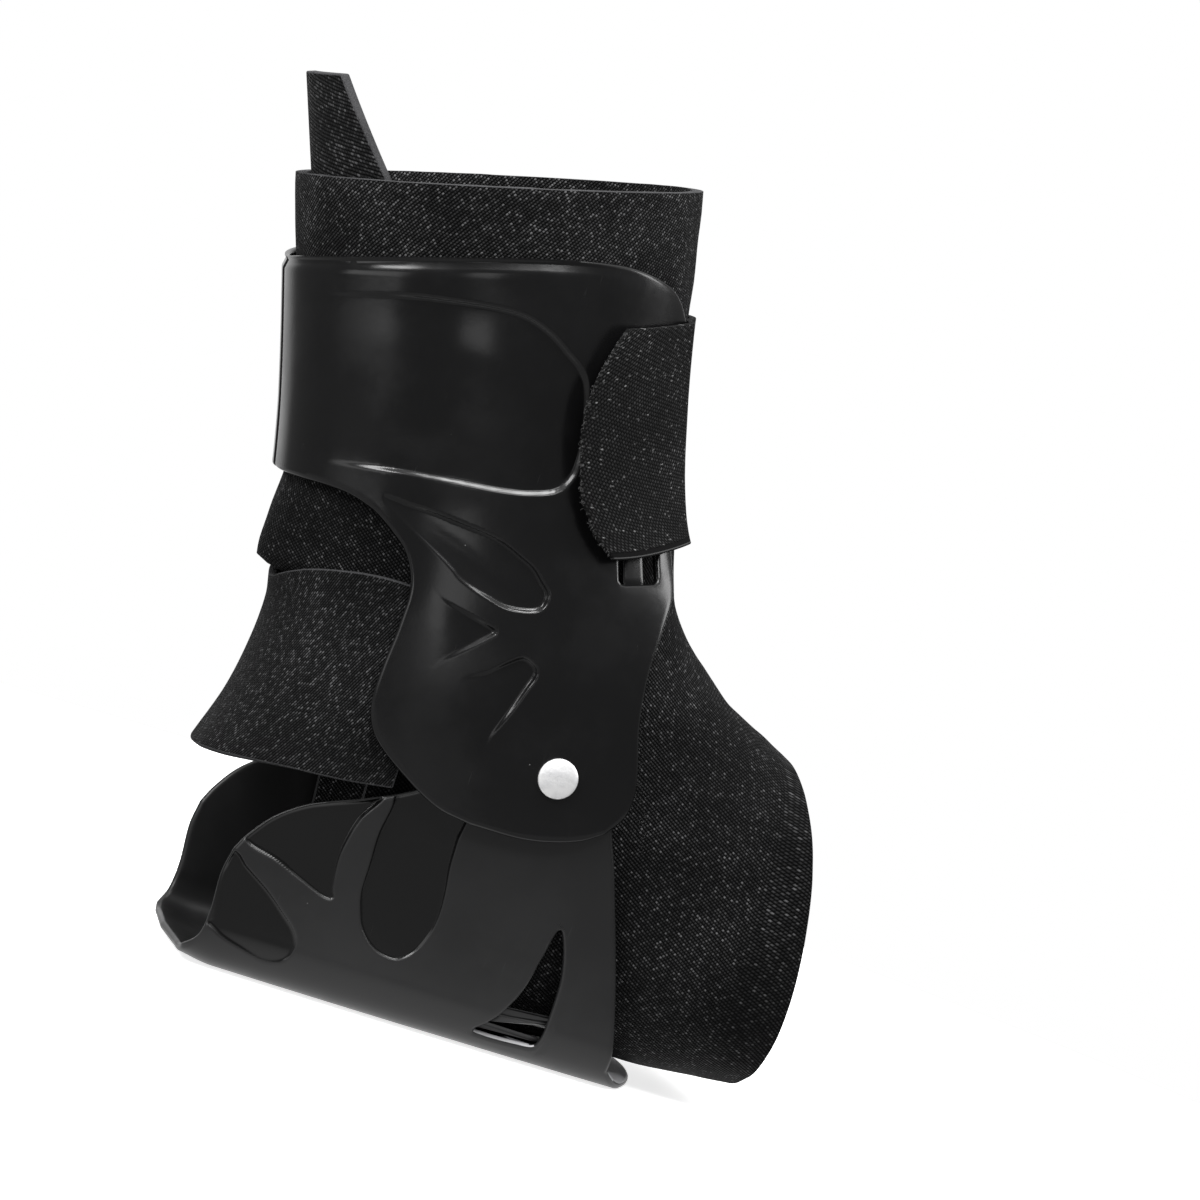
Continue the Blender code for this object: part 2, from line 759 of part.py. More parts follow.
def slot_cutter(name, side, forward, width, cutters):
    """A slot for the strap, near the cuff's front edge, square to the wall."""
    mesh = bmesh.new()
    bmesh.ops.create_cube(mesh, size=1)
    middle = STRAP_MIDDLE - STRAP_WIDTH / 2 - SLOT_BELOW + SLOT_LENGTH / 2
    angle = angle_at(forward, middle)
    face, beside = cuff_surface(angle, middle), cuff_surface(angle + 2, middle)
    turn = math.atan2(beside.y - face.y, leg_forward(beside) - leg_forward(face))
    for vertex in mesh.verts:
        along, through, up = vertex.co.x * width, vertex.co.y * CUFF_WALL * 5, vertex.co.z * SLOT_LENGTH
        ahead = forward + along * math.cos(turn) - through * math.sin(turn)
        across = face.y + along * math.sin(turn) + through * math.cos(turn)
        vertex.co = leg_point(ahead, -side * across, middle + up)
    return cutter(name, mesh, cutters)


# The stirrup


def stirrup_half_width(forward, height):
    """Half the stirrup's outer width at that place along the foot and that height up the wall."""
    width = stirrup_outside()
    ahead = forward / STIRRUP_FRONT
    behind = -forward / STIRRUP_BACK
    if forward > 0:
        width += FRONT_WIDENING * (1 - (1 - min(1, ahead)) ** 2) * max(0.0, 1 - height / RIVET_HEIGHT)
    else:
        width -= HEEL_NARROWING * behind**1.5
    ear = RIVET_HEIGHT - RIVET_HEAD * 0.6
    return width - SIDE_FLARE * max(0.0, ear - height) / (ear - CORNER_RADIUS)


def stirrup_point(forward, height, floor=0.0):
    """A point of the outer face. On the sole, floor runs from 1 at the corner to 0 in the middle."""
    base = stirrup_half_width(forward, CORNER_RADIUS)
    lip = STIRRUP_LIP * smooth_step(0.88, 1.08, -forward / STIRRUP_BACK)
    if height >= CORNER_RADIUS:
        return Vector((forward, -stirrup_half_width(forward, height), height))
    if floor < 1.0 and height <= 0:
        return Vector((forward, -(base - CORNER_RADIUS) * floor, lip))
    turn = math.acos(1 - max(0.0, height) / CORNER_RADIUS)
    rise = lip * (1 - turn / (math.pi / 2)) ** 1.5
    side = base - CORNER_RADIUS + CORNER_RADIUS * math.sin(turn)
    return Vector((forward, -side, max(height, 0.0) + rise))


def ear_edge():
    """The outline over the rivet, from the back to the front of the ear."""
    turns = [math.radians(angle) for angle in EAR_ANGLES]
    return [(EAR_RADIUS * math.cos(t), RIVET_HEIGHT + EAR_RADIUS * math.sin(t)) for t in turns]


def stirrup_grid():
    """One half of the stirrup, from the middle of its sole up to the edge of its wall."""
    back = [(-STIRRUP_BACK * x, RIVET_HEIGHT * z) for x, z in STIRRUP_BACK_EDGE]
    top = [(-STIRRUP_BACK * x, RIVET_HEIGHT * z) for x, z in STIRRUP_TOP_EDGE] + ear_edge()
    front = [(STIRRUP_FRONT * x, RIVET_HEIGHT * z) for x, z in reversed(STIRRUP_FRONT_EDGE)]
    top[-1] = front[-1]
    (tail, low_back), (nose, low_front) = back[0], front[0]
    grid = []
    for row in range(STIRRUP_ROWS, -1, -1):
        v = (row / STIRRUP_ROWS) ** 1.5
        line = []
        for column in range(STIRRUP_COLUMNS + 1):
            u = column / STIRRUP_COLUMNS
            sides = (
                (tail + (nose - tail) * u, low_back + (low_front - low_back) * u),
                follow(top, u),
                follow(back, v),
                follow(front, v),
            )
            forward, height = coons(*sides, (back[0], back[-1]), (front[0], front[-1]), u, v)
            line.append(stirrup_point(forward, height))
        grid.append(line)
    for floor in SOLE_ROWS:
        start = tail - SOLE_TAIL * (1 - floor)
        end = nose + STIRRUP_NOSE * (1 - floor**2)
        places = span(start, end, STIRRUP_COLUMNS + 1)
        grid.append([stirrup_point(forward, 0.0, floor) for forward in places])
    return [grid]


def make_stirrup(finish, parts, cutters):
    stirrup = sheet("stirrup", stirrup_grid(), finish, parts)
    mirror(stirrup)
    thicken(stirrup, STIRRUP_WALL)
    for name, outline in STIRRUP_RELIEF.items():
        points = [(STIRRUP_BACK * x, RIVET_HEIGHT * z) for x, z in rounded(outline, 3 * len(outline) // 2)]
        backs, heights = [x for x, _ in points], [z for _, z in points]
        places = span(max(backs) + RELIEF_MARGIN, min(backs) - RELIEF_MARGIN, 8)
        levels = span(min(heights) - RELIEF_MARGIN, max(heights) + RELIEF_MARGIN, 8)
        grid = [[stirrup_point(forward, height) for forward in places] for height in levels]
        cut_relief(stirrup, name, grid, points, STIRRUP_RELIEF_DEPTH, finish, cutters)
    fin = [(STIRRUP_BACK * x, RIVET_HEIGHT * z) for x, z in STIRRUP_CUT]
    boolean(stirrup, prism("side_cut", fin, -LEG_WIDTH, LEG_WIDTH, cutters), "DIFFERENCE")
    boolean(stirrup, rivet_cutter("stirrup_rivet_hole", cutters), "DIFFERENCE")
    return stirrup


# The rivets


def make_rivet(name, side, finish, parts):
    """A domed head outside the cuff, a shank through both walls and a flat tail inside the stirrup."""
    head = cuff_outside() + CLEARANCE
    radius = RIVET_HEAD / 2
    profile = [(0.0, head + RIVET_DOME)]
    for step in range(1, 5):
        turn = math.pi / 2 * step / 4
        rise = RIVET_RIM + (RIVET_DOME - RIVET_RIM) * math.cos(turn)
        profile.append((radius * math.sin(turn), head + rise))
    profile += [
        (radius, head),
        (RIVET_SHANK / 2, head),
        (RIVET_SHANK / 2, stirrup_inside() - CLEARANCE),
        (radius * 0.8, stirrup_inside() - CLEARANCE),
        (radius * 0.8, stirrup_inside() - CLEARANCE - RIVET_TAIL),
        (0.0, stirrup_inside() - CLEARANCE - RIVET_TAIL),
    ]
    mesh = bmesh.new()
    verts = [mesh.verts.new((out, 0, along)) for out, along in profile]
    for a, b in zip(verts, verts[1:]):
        mesh.edges.new((a, b))
    data = bpy.data.meshes.new(name)
    mesh.to_mesh(data)
    mesh.free()
    data.materials.append(finish)
    rivet = bpy.data.objects.new(name, data)
    rivet.location = (0, 0, RIVET_HEIGHT)
    rivet.rotation_euler = (math.radians(90 if side < 0 else -90), 0, 0)
    turn = rivet.modifiers.new("Turned", "SCREW")
    turn.steps = turn.render_steps = 16
    turn.use_merge_vertices = True
    turn.merge_threshold = 0.00001
    turn.use_smooth_shade = True
    parts.objects.link(rivet)
    return rivet


# The strap


def strap_surface(angle_degrees, height, lift):
    """A point on the strap's outer face, which runs over the cuff at the sides and the sleeve in front."""
    angle = min(angle_degrees, 360 - angle_degrees)
    _, deeper, _, _ = read_row(CUFF_SECTIONS, height / CUFF_WAIST)
    drop = (CUFF_WALL + LEG_SET_BACK * deeper) * smooth_step(*CUFF_ENDS, angle)
    rise = STRAP_RISE * (1 - smooth_step(STRAP_END, 180, angle_degrees))
    point = cuff_surface(angle, height + rise, lift - drop)
    if angle_degrees > 180:
        point.y = -point.y
    return point


def make_strap(finish, parts):
    """Laid from its rounded free end, round the front of the leg, into the front slot on the inner side."""
    across, along, turning = 6, 24, 4
    laid = 3 * CLEARANCE + STRAP_WALL
    bend = STRAP_WALL * 1.2
    heights = span(STRAP_MIDDLE - STRAP_WIDTH / 2, STRAP_MIDDLE + STRAP_WIDTH / 2, across + 1)
    slot = [360 - angle_at(SLOT_AHEAD, height) for height in heights]
    rows = []
    for step in range(along + 1):
        line = []
        for height, last in zip(heights, slot):
            away = abs(height - STRAP_MIDDLE) / (STRAP_WIDTH / 2)
            start = STRAP_END + STRAP_TIP * away**STRAP_TIP_POWER
            last -= math.degrees((bend - STRAP_WALL / 2) / (LEG_WIDTH / 2))
            angle = start + (last - start) * step / along
            lift = laid + STRAP_LIFT * (1 - smooth_step(STRAP_END, LIFT_ENDS, angle))
            line.append(strap_surface(angle, height, lift))
        rows.append(line)
    for step in range(1, turning + 1):
        turn = math.pi / 2 * step / turning
        beyond = STRAP_WALL / 2 - bend + bend * math.sin(turn)
        drop = bend * (1 - math.cos(turn))
        rows.append(
            [
                strap_surface(last + math.degrees(beyond / (LEG_WIDTH / 2)), height, laid - drop)
                for height, last in zip(heights, slot)
            ]
        )
    strap = sheet("strap", [rows], finish, parts)
    thicken(strap, STRAP_WALL)
    return strap


# The heel band


def make_heel_band(finish, parts):
    """A strip round the Achilles tendon, over the sleeve, with its ends under the cuff."""
    columns, rows = 20, 5
    grid = [[band_point(u, v) for u in span(-1, 1, columns + 1)] for v in span(0, 1, rows + 1)]
    band = sheet("heel_band", [grid], finish, parts)
    thicken(band, BAND_WALL)
    return band


def band_point(u, v):
    """A point of the band's outer face: u from one end round the back to the other, v from low to high."""
    (back,) = read_row(BAND_SECTIONS, v)
    middle = HEEL_REACH * BAND_CENTRE
    depth = HEEL_REACH * back - middle
    width = ANKLE_WIDTH / 2 + CLEARANCE + BAND_WALL
    angle = math.atan2(width, (BAND_FRONT - middle) * BAND_ENDS) * u
    out = reach(angle, depth, width, BAND_SQUARENESS)
    behind = middle + out * math.cos(angle)
    low, high = read_row(BAND_EDGES, (behind - BAND_FRONT) / (middle + depth - BAND_FRONT))
    return Vector((-behind, out * math.sin(angle), RIVET_HEIGHT * (low + (high - low) * v)))


# The pull tab


def make_pull_tab(finish, parts):
    """A strip standing up inside the sleeve's top, behind and to the outer side."""
    columns, rows = 4, 6
    inside = FOAM + 2.5 * CLEARANCE
    grid = []
    for height in span(LEG_HEIGHT + TAB_HEIGHT, LEG_HEIGHT - TAB_HEIGHT * TAB_BELOW, rows + 1):
        _, back, width, squareness = leg_section(height)
        above = max(0.0, height - LEG_HEIGHT) / TAB_HEIGHT
        sweep = TAB_WIDTH / (LEG_WIDTH / 2) * (1 - TAB_TAPER * above)
        middle = -LEG_SET_BACK - TAB_LEAN * above
        line = []
        for angle in span(TAB_START, TAB_START + sweep, columns + 1):
            out = reach(angle, back - inside, width - inside, squareness)
            line.append(leg_point(middle - out * math.cos(angle), -out * math.sin(angle), height))
        grid.append(line)
    tab = sheet("pull_tab", [grid], finish, parts)
    thicken(tab, TAB_WALL)
    return tab


def build():
    clear_scene()
    parts = collection("ankle_brace")
    cutters = collection("cutters")
    foam = material("black_foam_fabric", (0.012, 0.012, 0.013), 0.85)
    cuff_plastic = material("black_gloss_plastic", (0.010, 0.010, 0.011), 0.28)
    stirrup_plastic = material("black_satin_plastic", (0.018, 0.018, 0.019), 0.38)
    webbing = material("black_hook_and_loop", (0.011, 0.011, 0.012), 0.9)
    metal = material("rivet_aluminium", (0.82, 0.82, 0.83), 0.25, 1.0)
    make_sleeve(foam, parts, cutters)
    make_heel_band(foam, parts)
    make_pull_tab(foam, parts)
    make_cuff(cuff_plastic, parts, cutters)
    make_stirrup(stirrup_plastic, parts, cutters)
    make_rivet("rivet_outer", -1, metal, parts)
    make_rivet("rivet_inner", 1, metal, parts)
    make_strap(webbing, parts)


build()
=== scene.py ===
# Hinged ankle support wrap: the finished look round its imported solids.
# Metres. +X points to the toe opening, +Z up, and the outer side is at -Y.
import math
import random

import bmesh
import bpy
import numpy as np
from mathutils import Matrix, Vector, kdtree, noise


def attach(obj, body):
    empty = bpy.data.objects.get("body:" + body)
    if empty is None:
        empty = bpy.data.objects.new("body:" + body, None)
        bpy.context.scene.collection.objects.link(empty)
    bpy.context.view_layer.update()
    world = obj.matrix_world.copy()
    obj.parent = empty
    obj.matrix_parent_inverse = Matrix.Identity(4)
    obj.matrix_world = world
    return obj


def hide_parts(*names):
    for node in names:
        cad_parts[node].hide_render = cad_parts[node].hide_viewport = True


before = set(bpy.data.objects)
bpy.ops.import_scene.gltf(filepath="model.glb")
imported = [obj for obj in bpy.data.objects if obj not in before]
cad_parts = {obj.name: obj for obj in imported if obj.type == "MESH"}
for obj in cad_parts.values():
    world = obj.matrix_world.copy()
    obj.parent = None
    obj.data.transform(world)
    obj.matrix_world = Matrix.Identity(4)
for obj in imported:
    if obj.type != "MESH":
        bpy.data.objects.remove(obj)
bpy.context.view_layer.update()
scene = bpy.context.scene

view = {
    "azimuth": 13.5,
    "elevation": 3.5,
    "roll": 18.67,  # the photo is tilted, so the sole runs downhill in it
    "distance": 1.30,
    "target": (0.0071, 0.0, 0.1217),
    "lens": 144.44,
}


def makeCamera():
    azimuth, elevation, roll = (math.radians(view[name]) for name in ("azimuth", "elevation", "roll"))
    look = Vector(
        (
            math.sin(azimuth) * math.cos(elevation),
            math.cos(azimuth) * math.cos(elevation),
            -math.sin(elevation),
        )
    )
    level = Vector((math.cos(azimuth), -math.sin(azimuth), 0))
    above = level.cross(look)
    right = level * math.cos(roll) + above * math.sin(roll)
    up = above * math.cos(roll) - level * math.sin(roll)
    data = bpy.data.cameras.new("camera")
    data.lens = view["lens"]
    data.sensor_width = 36
    camera = bpy.data.objects.new("camera", data)
    turned = Matrix((right, up, -look)).transposed().to_4x4()
    turned.translation = Vector(view["target"]) - look * view["distance"]
    camera.matrix_world = turned
    scene.collection.objects.link(camera)
    scene.camera = camera


makeCamera()
print("camera placed")


# ---- curves, tables and outlines


def smoothStep(low, high, value):
    share = min(1.0, max(0.0, (value - low) / (high - low)))
    return share * share * (3 - 2 * share)


def smoothSteps(low, high, values):
    share = np.clip((values - low) / (high - low), 0, 1)
    return share * share * (3 - 2 * share)


def curveWeights(t):
    return 2 * t**3 - 3 * t**2 + 1, t**3 - 2 * t**2 + t, 3 * t**2 - 2 * t**3, t**3 - t**2


def hermite(near, start, far, end, t):
    a, b, c, d = curveWeights(t)
    return tuple(a * n + b * s + c * f + d * e for n, s, f, e in zip(near, start, far, end))


def curveAt(points, share):
    # the point at that share of a smooth curve through the points
    steps = [max(1e-9, math.dist(a, b)) for a, b in zip(points, points[1:])]
    along = min(1.0, max(0.0, share)) * sum(steps)
    last = len(steps) - 1
    for index, step in enumerate(steps):
        if along <= step or index == last:
            break
        along -= step

    def slope(at):
        low, high = max(0, at - 1), min(len(points) - 1, at + 1)
        return [(b - a) / sum(steps[low:high]) * step for a, b in zip(points[low], points[high])]

    return hermite(points[index], slope(index), points[index + 1], slope(index + 1), min(1.0, along / step))


def tableAt(rows, value):
    # the other columns of a table where its first column has that value
    rows = sorted(rows)
    value = min(rows[-1][0], max(rows[0][0], value))
    index = max(i for i in range(len(rows) - 1) if value >= rows[i][0])
    span = rows[index + 1][0] - rows[index][0]

    def slope(at):
        low, high = rows[max(0, at - 1)], rows[min(len(rows) - 1, at + 1)]
        return [(b - a) / (high[0] - low[0]) * span for a, b in zip(low[1:], high[1:])]

    share = (value - rows[index][0]) / span
    return hermite(rows[index][1:], slope(index), rows[index + 1][1:], slope(index + 1), share)


def closedCurve(points, count):
    # a smooth closed outline through the points, at even steps
    points = np.array(points, float)
    ahead = np.roll(points, -1, 0)
    slopes = (ahead - np.roll(points, 1, 0)) / 2
    dense = []
    for t in np.arange(0, 1, 1 / 12):
        a, b, c, d = curveWeights(t)
        dense.append(a * points + b * slopes + c * ahead + d * np.roll(slopes, -1, 0))
    dense = np.stack(dense, 1).reshape(-1, 2)
    return evenly(dense, count)


def evenly(outline, count):
    closed = np.vstack([outline, outline[:1]])
    lengths = np.concatenate([[0], np.cumsum(np.linalg.norm(np.diff(closed, axis=0), axis=1))])
    at = np.arange(count) / count * lengths[-1]
    return np.stack([np.interp(at, lengths, closed[:, i]) for i in range(2)], 1)


def howFarInside(points, outline):
    # distance of each flat point from a closed outline, negative outside
    best, crossed = np.full(len(points), 1e9), np.zeros(len(points), bool)
    for start, end in zip(outline, np.roll(outline, -1, 0)):
        step = end - start
        share = np.clip((points - start) @ step / max(1e-18, step @ step), 0, 1)
        best = np.minimum(best, np.linalg.norm(points - start - share[:, None] * step, axis=1))
        if abs(step[1]) > 1e-12:
            crossing = start[0] + (points[:, 1] - start[1]) * step[0] / step[1]
            crossed ^= ((start[1] > points[:, 1]) != (end[1] > points[:, 1])) & (points[:, 0] < crossing)
    return np.where(crossed, best, -best)


def bilinear(top, low, left, right, corners, u, v):
    # a point inside four edges, each already read at this point's share
    return tuple(
        (1 - v) * top[i] + v * low[i] + (1 - u) * left[i] + u * right[i]
        - (1 - u) * (1 - v) * corners[0][i] - u * (1 - v) * corners[1][i]
        - (1 - u) * v * corners[2][i] - u * v * corners[3][i]
        for i in range(2)
    )


def spread(length, cell, nearStart=(), nearEnd=()):
    # shares from 0 to 1 about a cell apart, with finer steps at the distances given from an end
    low = nearStart[-1] if nearStart else 0.0
    high = length - (nearEnd[-1] if nearEnd else 0.0)
    count = max(1, round((high - low) / cell))
    places = [low + (high - low) * i / count for i in range(count + 1)]
    places = ([0.0, *nearStart[:-1]] if nearStart else []) + places
    places += [length - gap for gap in reversed(nearEnd[:-1])] + [length] if nearEnd else []
    return [place / length for place in places]


# ---- the leaning shaft that the sleeve, cuff, strap and tab share, as in the solids

shaft = {
    "lean": math.radians(16),
    "height": 0.1525,
    "depth": 0.1062,
    "width": 0.087,
    "setBack": 0.0148,
    "rivetHeight": 0.077,
    "sections": (
        # height, front, back, width, squareness
        (1.0, 0.524, 0.503, 1.0, 2.1),
        (0.852, 0.507, 0.494, 0.99, 2.1),
        (0.623, 0.49, 0.488, 0.966, 2.1),
        (0.459, 0.495, 0.494, 0.947, 2.15),
    ),
}


def shaftPoint(forward, side, height):
    # along the leaning shaft's own axes, from the middle of the rivets' line
    lean = shaft["lean"]
    return Vector(
        (
            forward * math.cos(lean) - height * math.sin(lean),
            side,
            shaft["rivetHeight"] + forward * math.sin(lean) + height * math.cos(lean),
        )
    )


def shaftFlat(point):
    lean, rise = shaft["lean"], point[2] - shaft["rivetHeight"]
    return (
        point[0] * math.cos(lean) + rise * math.sin(lean),
        rise * math.cos(lean) - point[0] * math.sin(lean),
    )


def shaftFlats(points):
    forward, height = shaftFlat(points.T)
    return np.stack([forward, height], 1)


def reach(angle, depth, width, squareness):
    along, across = abs(math.cos(angle)) / depth, abs(math.sin(angle)) / width
    return (along**squareness + across**squareness) ** (-1 / squareness)


def shaftSection(height):
    front, back, width, squareness = tableAt(shaft["sections"], height / shaft["height"])
    return shaft["depth"] * front, shaft["depth"] * back, shaft["width"] * width / 2, squareness


# ---- mesh helpers


def patch(mesh, across, down, pointAt, flatAt=None):
    # a grid of quads whose corners are placed by pointAt(share across, share down)
    made = bmesh.ops.create_grid(mesh, x_segments=len(across) - 1, y_segments=len(down) - 1, size=0.5)
    layer = (mesh.loops.layers.uv.get("UVMap") or mesh.loops.layers.uv.new("UVMap")) if flatAt else None
    flats = {}
    for vertex in made["verts"]:
        u = across[round((vertex.co.x + 0.5) * (len(across) - 1))]
        v = down[round((vertex.co.y + 0.5) * (len(down) - 1))]
        vertex.co = pointAt(u, v)
        if flatAt:
            flats[vertex] = flatAt(u, v)
    if flatAt:
        for face in {face for vertex in made["verts"] for face in vertex.link_faces}:
            for loop in face.loops:
                loop[layer].uv = flats[loop.vert]
    return made["verts"]


def faceOutwards(mesh, middle):
    bmesh.ops.recalc_face_normals(mesh, faces=mesh.faces)
    away = sum((face.calc_center_median() - middle).dot(face.normal) * face.calc_area() for face in mesh.faces)
    if away < 0:
        bmesh.ops.reverse_faces(mesh, faces=mesh.faces)


def otherSide(mesh, middle):
    bmesh.ops.mirror(mesh, geom=mesh.verts[:] + mesh.edges[:] + mesh.faces[:], axis="Y", merge_dist=0.00002)
    bmesh.ops.remove_doubles(mesh, verts=mesh.verts, dist=0.00001)
    faceOutwards(mesh, middle)


def openHole(mesh, outline, rings, flatOf, placeOf):
    # takes an outline out of an open surface and lays even rings of faces round it
    mesh.verts.index_update()
    inside = howFarInside(np.array([flatOf(vertex.co) for vertex in mesh.verts]), outline)
    rims = {edge for edge in mesh.edges if edge.is_boundary}
    gone = [face for face in mesh.faces if any(inside[vertex.index] > -rings[-1] for vertex in face.verts)]
    bmesh.ops.delete(mesh, geom=gone, context="FACES")
    edges = [edge for edge in mesh.edges if edge.is_boundary and edge not in rims]
    beside = {}
    for edge in edges:
        first, second = edge.verts
        beside.setdefault(first, []).append(second)
        beside.setdefault(second, []).append(first)
    loop = [edges[0].verts[0], edges[0].verts[1]]
    while len(loop) < len(beside):
        loop.append(next(v for v in beside[loop[-1]] if v is not loop[-2]))
    count = len(loop)
    even = evenly(outline, count)
    tangent = np.roll(even, -1, 0) - np.roll(even, 1, 0)
    normal = np.stack([tangent[:, 1], -tangent[:, 0]], 1)
    normal /= np.linalg.norm(normal, axis=1)[:, None]
    if howFarInside(even[:1] + normal[:1] * 0.0002, outline)[0] > 0:
        normal = -normal
    flats = np.array([flatOf(vertex.co) for vertex in loop])
    tries = []
    for order in (1, -1):
        for shift in range(count):
            picked = (order * np.arange(count) + shift) % count
            tries.append((np.abs(flats - even[picked]).sum(), order, shift))
    _, order, shift = min(tries)
    picked = (order * np.arange(count) + shift) % count
    for ring in (*reversed(rings), 0.0):
        if ring != rings[-1]:
            grown = bmesh.ops.extrude_edge_only(mesh, edges=edges)["geom"]
            edges = [item for item in grown if isinstance(item, bmesh.types.BMEdge) and item.is_boundary]
            fresh = [item for item in grown if isinstance(item, bmesh.types.BMVert)]
            loop = [min(fresh, key=lambda item: (item.co - old.co).length_squared) for old in loop]
        for vertex, at in zip(loop, even[picked] + normal[picked] * ring):
            vertex.co = placeOf(*at)


def refineAlong(mesh, outlines, flatOf, reachOut, cuts=2):
    # finer faces where the slopes of moulded recesses run
    mesh.verts.index_update()
    flats = np.array([flatOf(vertex.co) for vertex in mesh.verts])
    near = np.zeros(len(flats), bool)
    for outline in outlines:
        near |= np.abs(howFarInside(flats, outline)) < reachOut
    edges = [
        edge for edge in mesh.edges
        if edge.calc_length() > 0.0006 and any(near[vertex.index] for vertex in edge.verts)
    ]
    bmesh.ops.subdivide_edges(mesh, edges=edges, cuts=cuts, use_grid_fill=True)


def giveWall(mesh, wall, carve):
    # makes a closed wall inside the outer face; it rounds off to its rims, and carve() shapes the outer side
    depthLayer = mesh.verts.layers.float.new("sunk")
    mesh.normal_update()
    half = wall / 2
    rims = [edge for edge in mesh.edges if edge.is_boundary]
    outer = mesh.verts[:]
    onRim = [vertex.is_boundary for vertex in outer]
    for vertex, up in [(vertex, vertex.normal.copy()) for vertex in outer]:
        vertex.co -= up * half
    tree = kdtree.KDTree(2 * len(rims))
    for number, edge in enumerate(rims):
        for vertex in edge.verts:
            tree.insert(vertex.co, number)
    tree.balance()
    ends = [(edge.verts[0].co.copy(), edge.verts[1].co.copy()) for edge in rims]
    depths = []
    for vertex in outer:
        found = tree.find_n(vertex.co, 4)
        depth = found[0][2]
        if depth < 2 * wall:
            for _, number, _ in found:
                start, end = ends[number]
                step = end - start
                share = min(1, max(0, (vertex.co - start).dot(step) / max(1e-18, step.length_squared)))
                depth = min(depth, (vertex.co - start - step * share).length)
        depths.append(depth)
    depths = np.array(depths)
    places = np.array([vertex.co for vertex in outer])
    ups = np.array([vertex.normal for vertex in outer])
    swell = half * np.sqrt(1 - (1 - np.clip(depths / half, 0, 1)) ** 2)
    carved = carve(places, depths) * np.clip(depths / half, 0, 1)
    made = bmesh.ops.duplicate(mesh, geom=outer + mesh.edges[:] + mesh.faces[:])["geom"]
    inner = [item for item in made if isinstance(item, bmesh.types.BMVert)]
    bmesh.ops.reverse_faces(mesh, faces=[item for item in made if isinstance(item, bmesh.types.BMFace)])
    for near, far, place, up, out, cut in zip(outer, inner, places, ups, swell, carved):
        near.co = place + up * (out + cut)
        # the depth also lets the finish darken the recess floors as painted shade
        near[depthLayer] = -cut * 1000  # in millimetres, for the finish
        far.co = place - up * out
    bmesh.ops.weld_verts(mesh, targetmap={far: near for near, far, rim in zip(outer, inner, onRim) if rim})


def asData(name, mesh):
    data = bpy.data.meshes.new(name)
    mesh.to_mesh(data)
    mesh.free()
    return data


def makePiece(name, mesh, finishes, node=None, sharp=60):
    data = asData(name, mesh)
    data.shade_smooth()
    data.set_sharp_from_angle(angle=math.radians(sharp))
    for finish in finishes:
        data.materials.append(finish)
    piece = bpy.data.objects.new(name, data)
    scene.collection.objects.link(piece)
    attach(piece, "root")
    if node:
        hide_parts(node)
    print(name, len(data.polygons), "faces")
    return piece


def settle(piece):
    # the modifiers' result becomes the piece's own mesh
    shaped = bpy.data.meshes.new_from_object(piece.evaluated_get(bpy.context.evaluated_depsgraph_get()))
    piece.modifiers.clear()
    piece.data = shaped


def addWall(piece, wall, rimSlot, rounding):
    # thickness inwards, with rounded edges in the rim's finish
    solid = piece.modifiers.new("wall", "SOLIDIFY")
    solid.thickness = wall
    solid.offset = -1
    solid.material_offset_rim = rimSlot
    bevel = piece.modifiers.new("edges", "BEVEL")
    bevel.width = rounding
    bevel.segments = 2
    bevel.limit_method = "ANGLE"
    bevel.angle_limit = math.radians(50)
    bevel.material = rimSlot


# ---- shader groups shared by the finishes


def newGroup(name, inputs, outputs):
    # an input without a value is a vector
    group = bpy.data.node_groups.new(name, "ShaderNodeTree")
    for title, value in inputs.items():
        kind = "NodeSocketVector" if value is None else "NodeSocketFloat"
        socket = group.interface.new_socket(title, in_out="INPUT", socket_type=kind)
        if value is not None:
            socket.default_value = value
    for title in outputs:
        group.interface.new_socket(title, in_out="OUTPUT", socket_type="NodeSocketFloat")
    return group, group.nodes.new("NodeGroupInput").outputs, group.nodes.new("NodeGroupOutput").inputs


def feed(tree, node, values):
    # another node's output is linked, and a number is set on the socket
    for title, value in values.items():
        if isinstance(value, bpy.types.NodeSocket):
            tree.links.new(value, node.inputs[title])
        else:
            node.inputs[title].default_value = value


def maths(tree, operation, first, second=None):
    node = tree.nodes.new("ShaderNodeMath")
    node.operation = operation
    feed(tree, node, {0: first} if second is None else {0: first, 1: second})
    return node.outputs[0]


def times(tree, first, second):
    return maths(tree, "MULTIPLY", first, second)


def plus(tree, first, second):
    return maths(tree, "ADD", first, second)


def minus(tree, first, second):
    return maths(tree, "SUBTRACT", first, second)


def vectorMaths(tree, operation, vector, amount):
    node = tree.nodes.new("ShaderNodeVectorMath")
    node.operation = operation
    feed(tree, node, {0: vector, ("Scale" if operation == "SCALE" else 1): amount})
    return node.outputs[0]


def ramp(tree, value, low, high, fromValue=0.0, toValue=1.0):
    node = tree.nodes.new("ShaderNodeMapRange")
    node.interpolation_type = "SMOOTHSTEP"
    limits = {"From Min": low, "From Max": high, "To Min": fromValue, "To Max": toValue}
    feed(tree, node, {"Value": value, **limits})
    return node.outputs["Result"]


def noiseOf(tree, vector, scale, detail=2.0, roughness=0.5):
    node = tree.nodes.new("ShaderNodeTexNoise")
    feed(tree, node, {"Vector": vector, "Scale": scale, "Detail": detail, "Roughness": roughness})
    return node.outputs["Fac"]


def parts(tree, vector):
    node = tree.nodes.new("ShaderNodeSeparateXYZ")
    feed(tree, node, {0: vector})
    return node.outputs


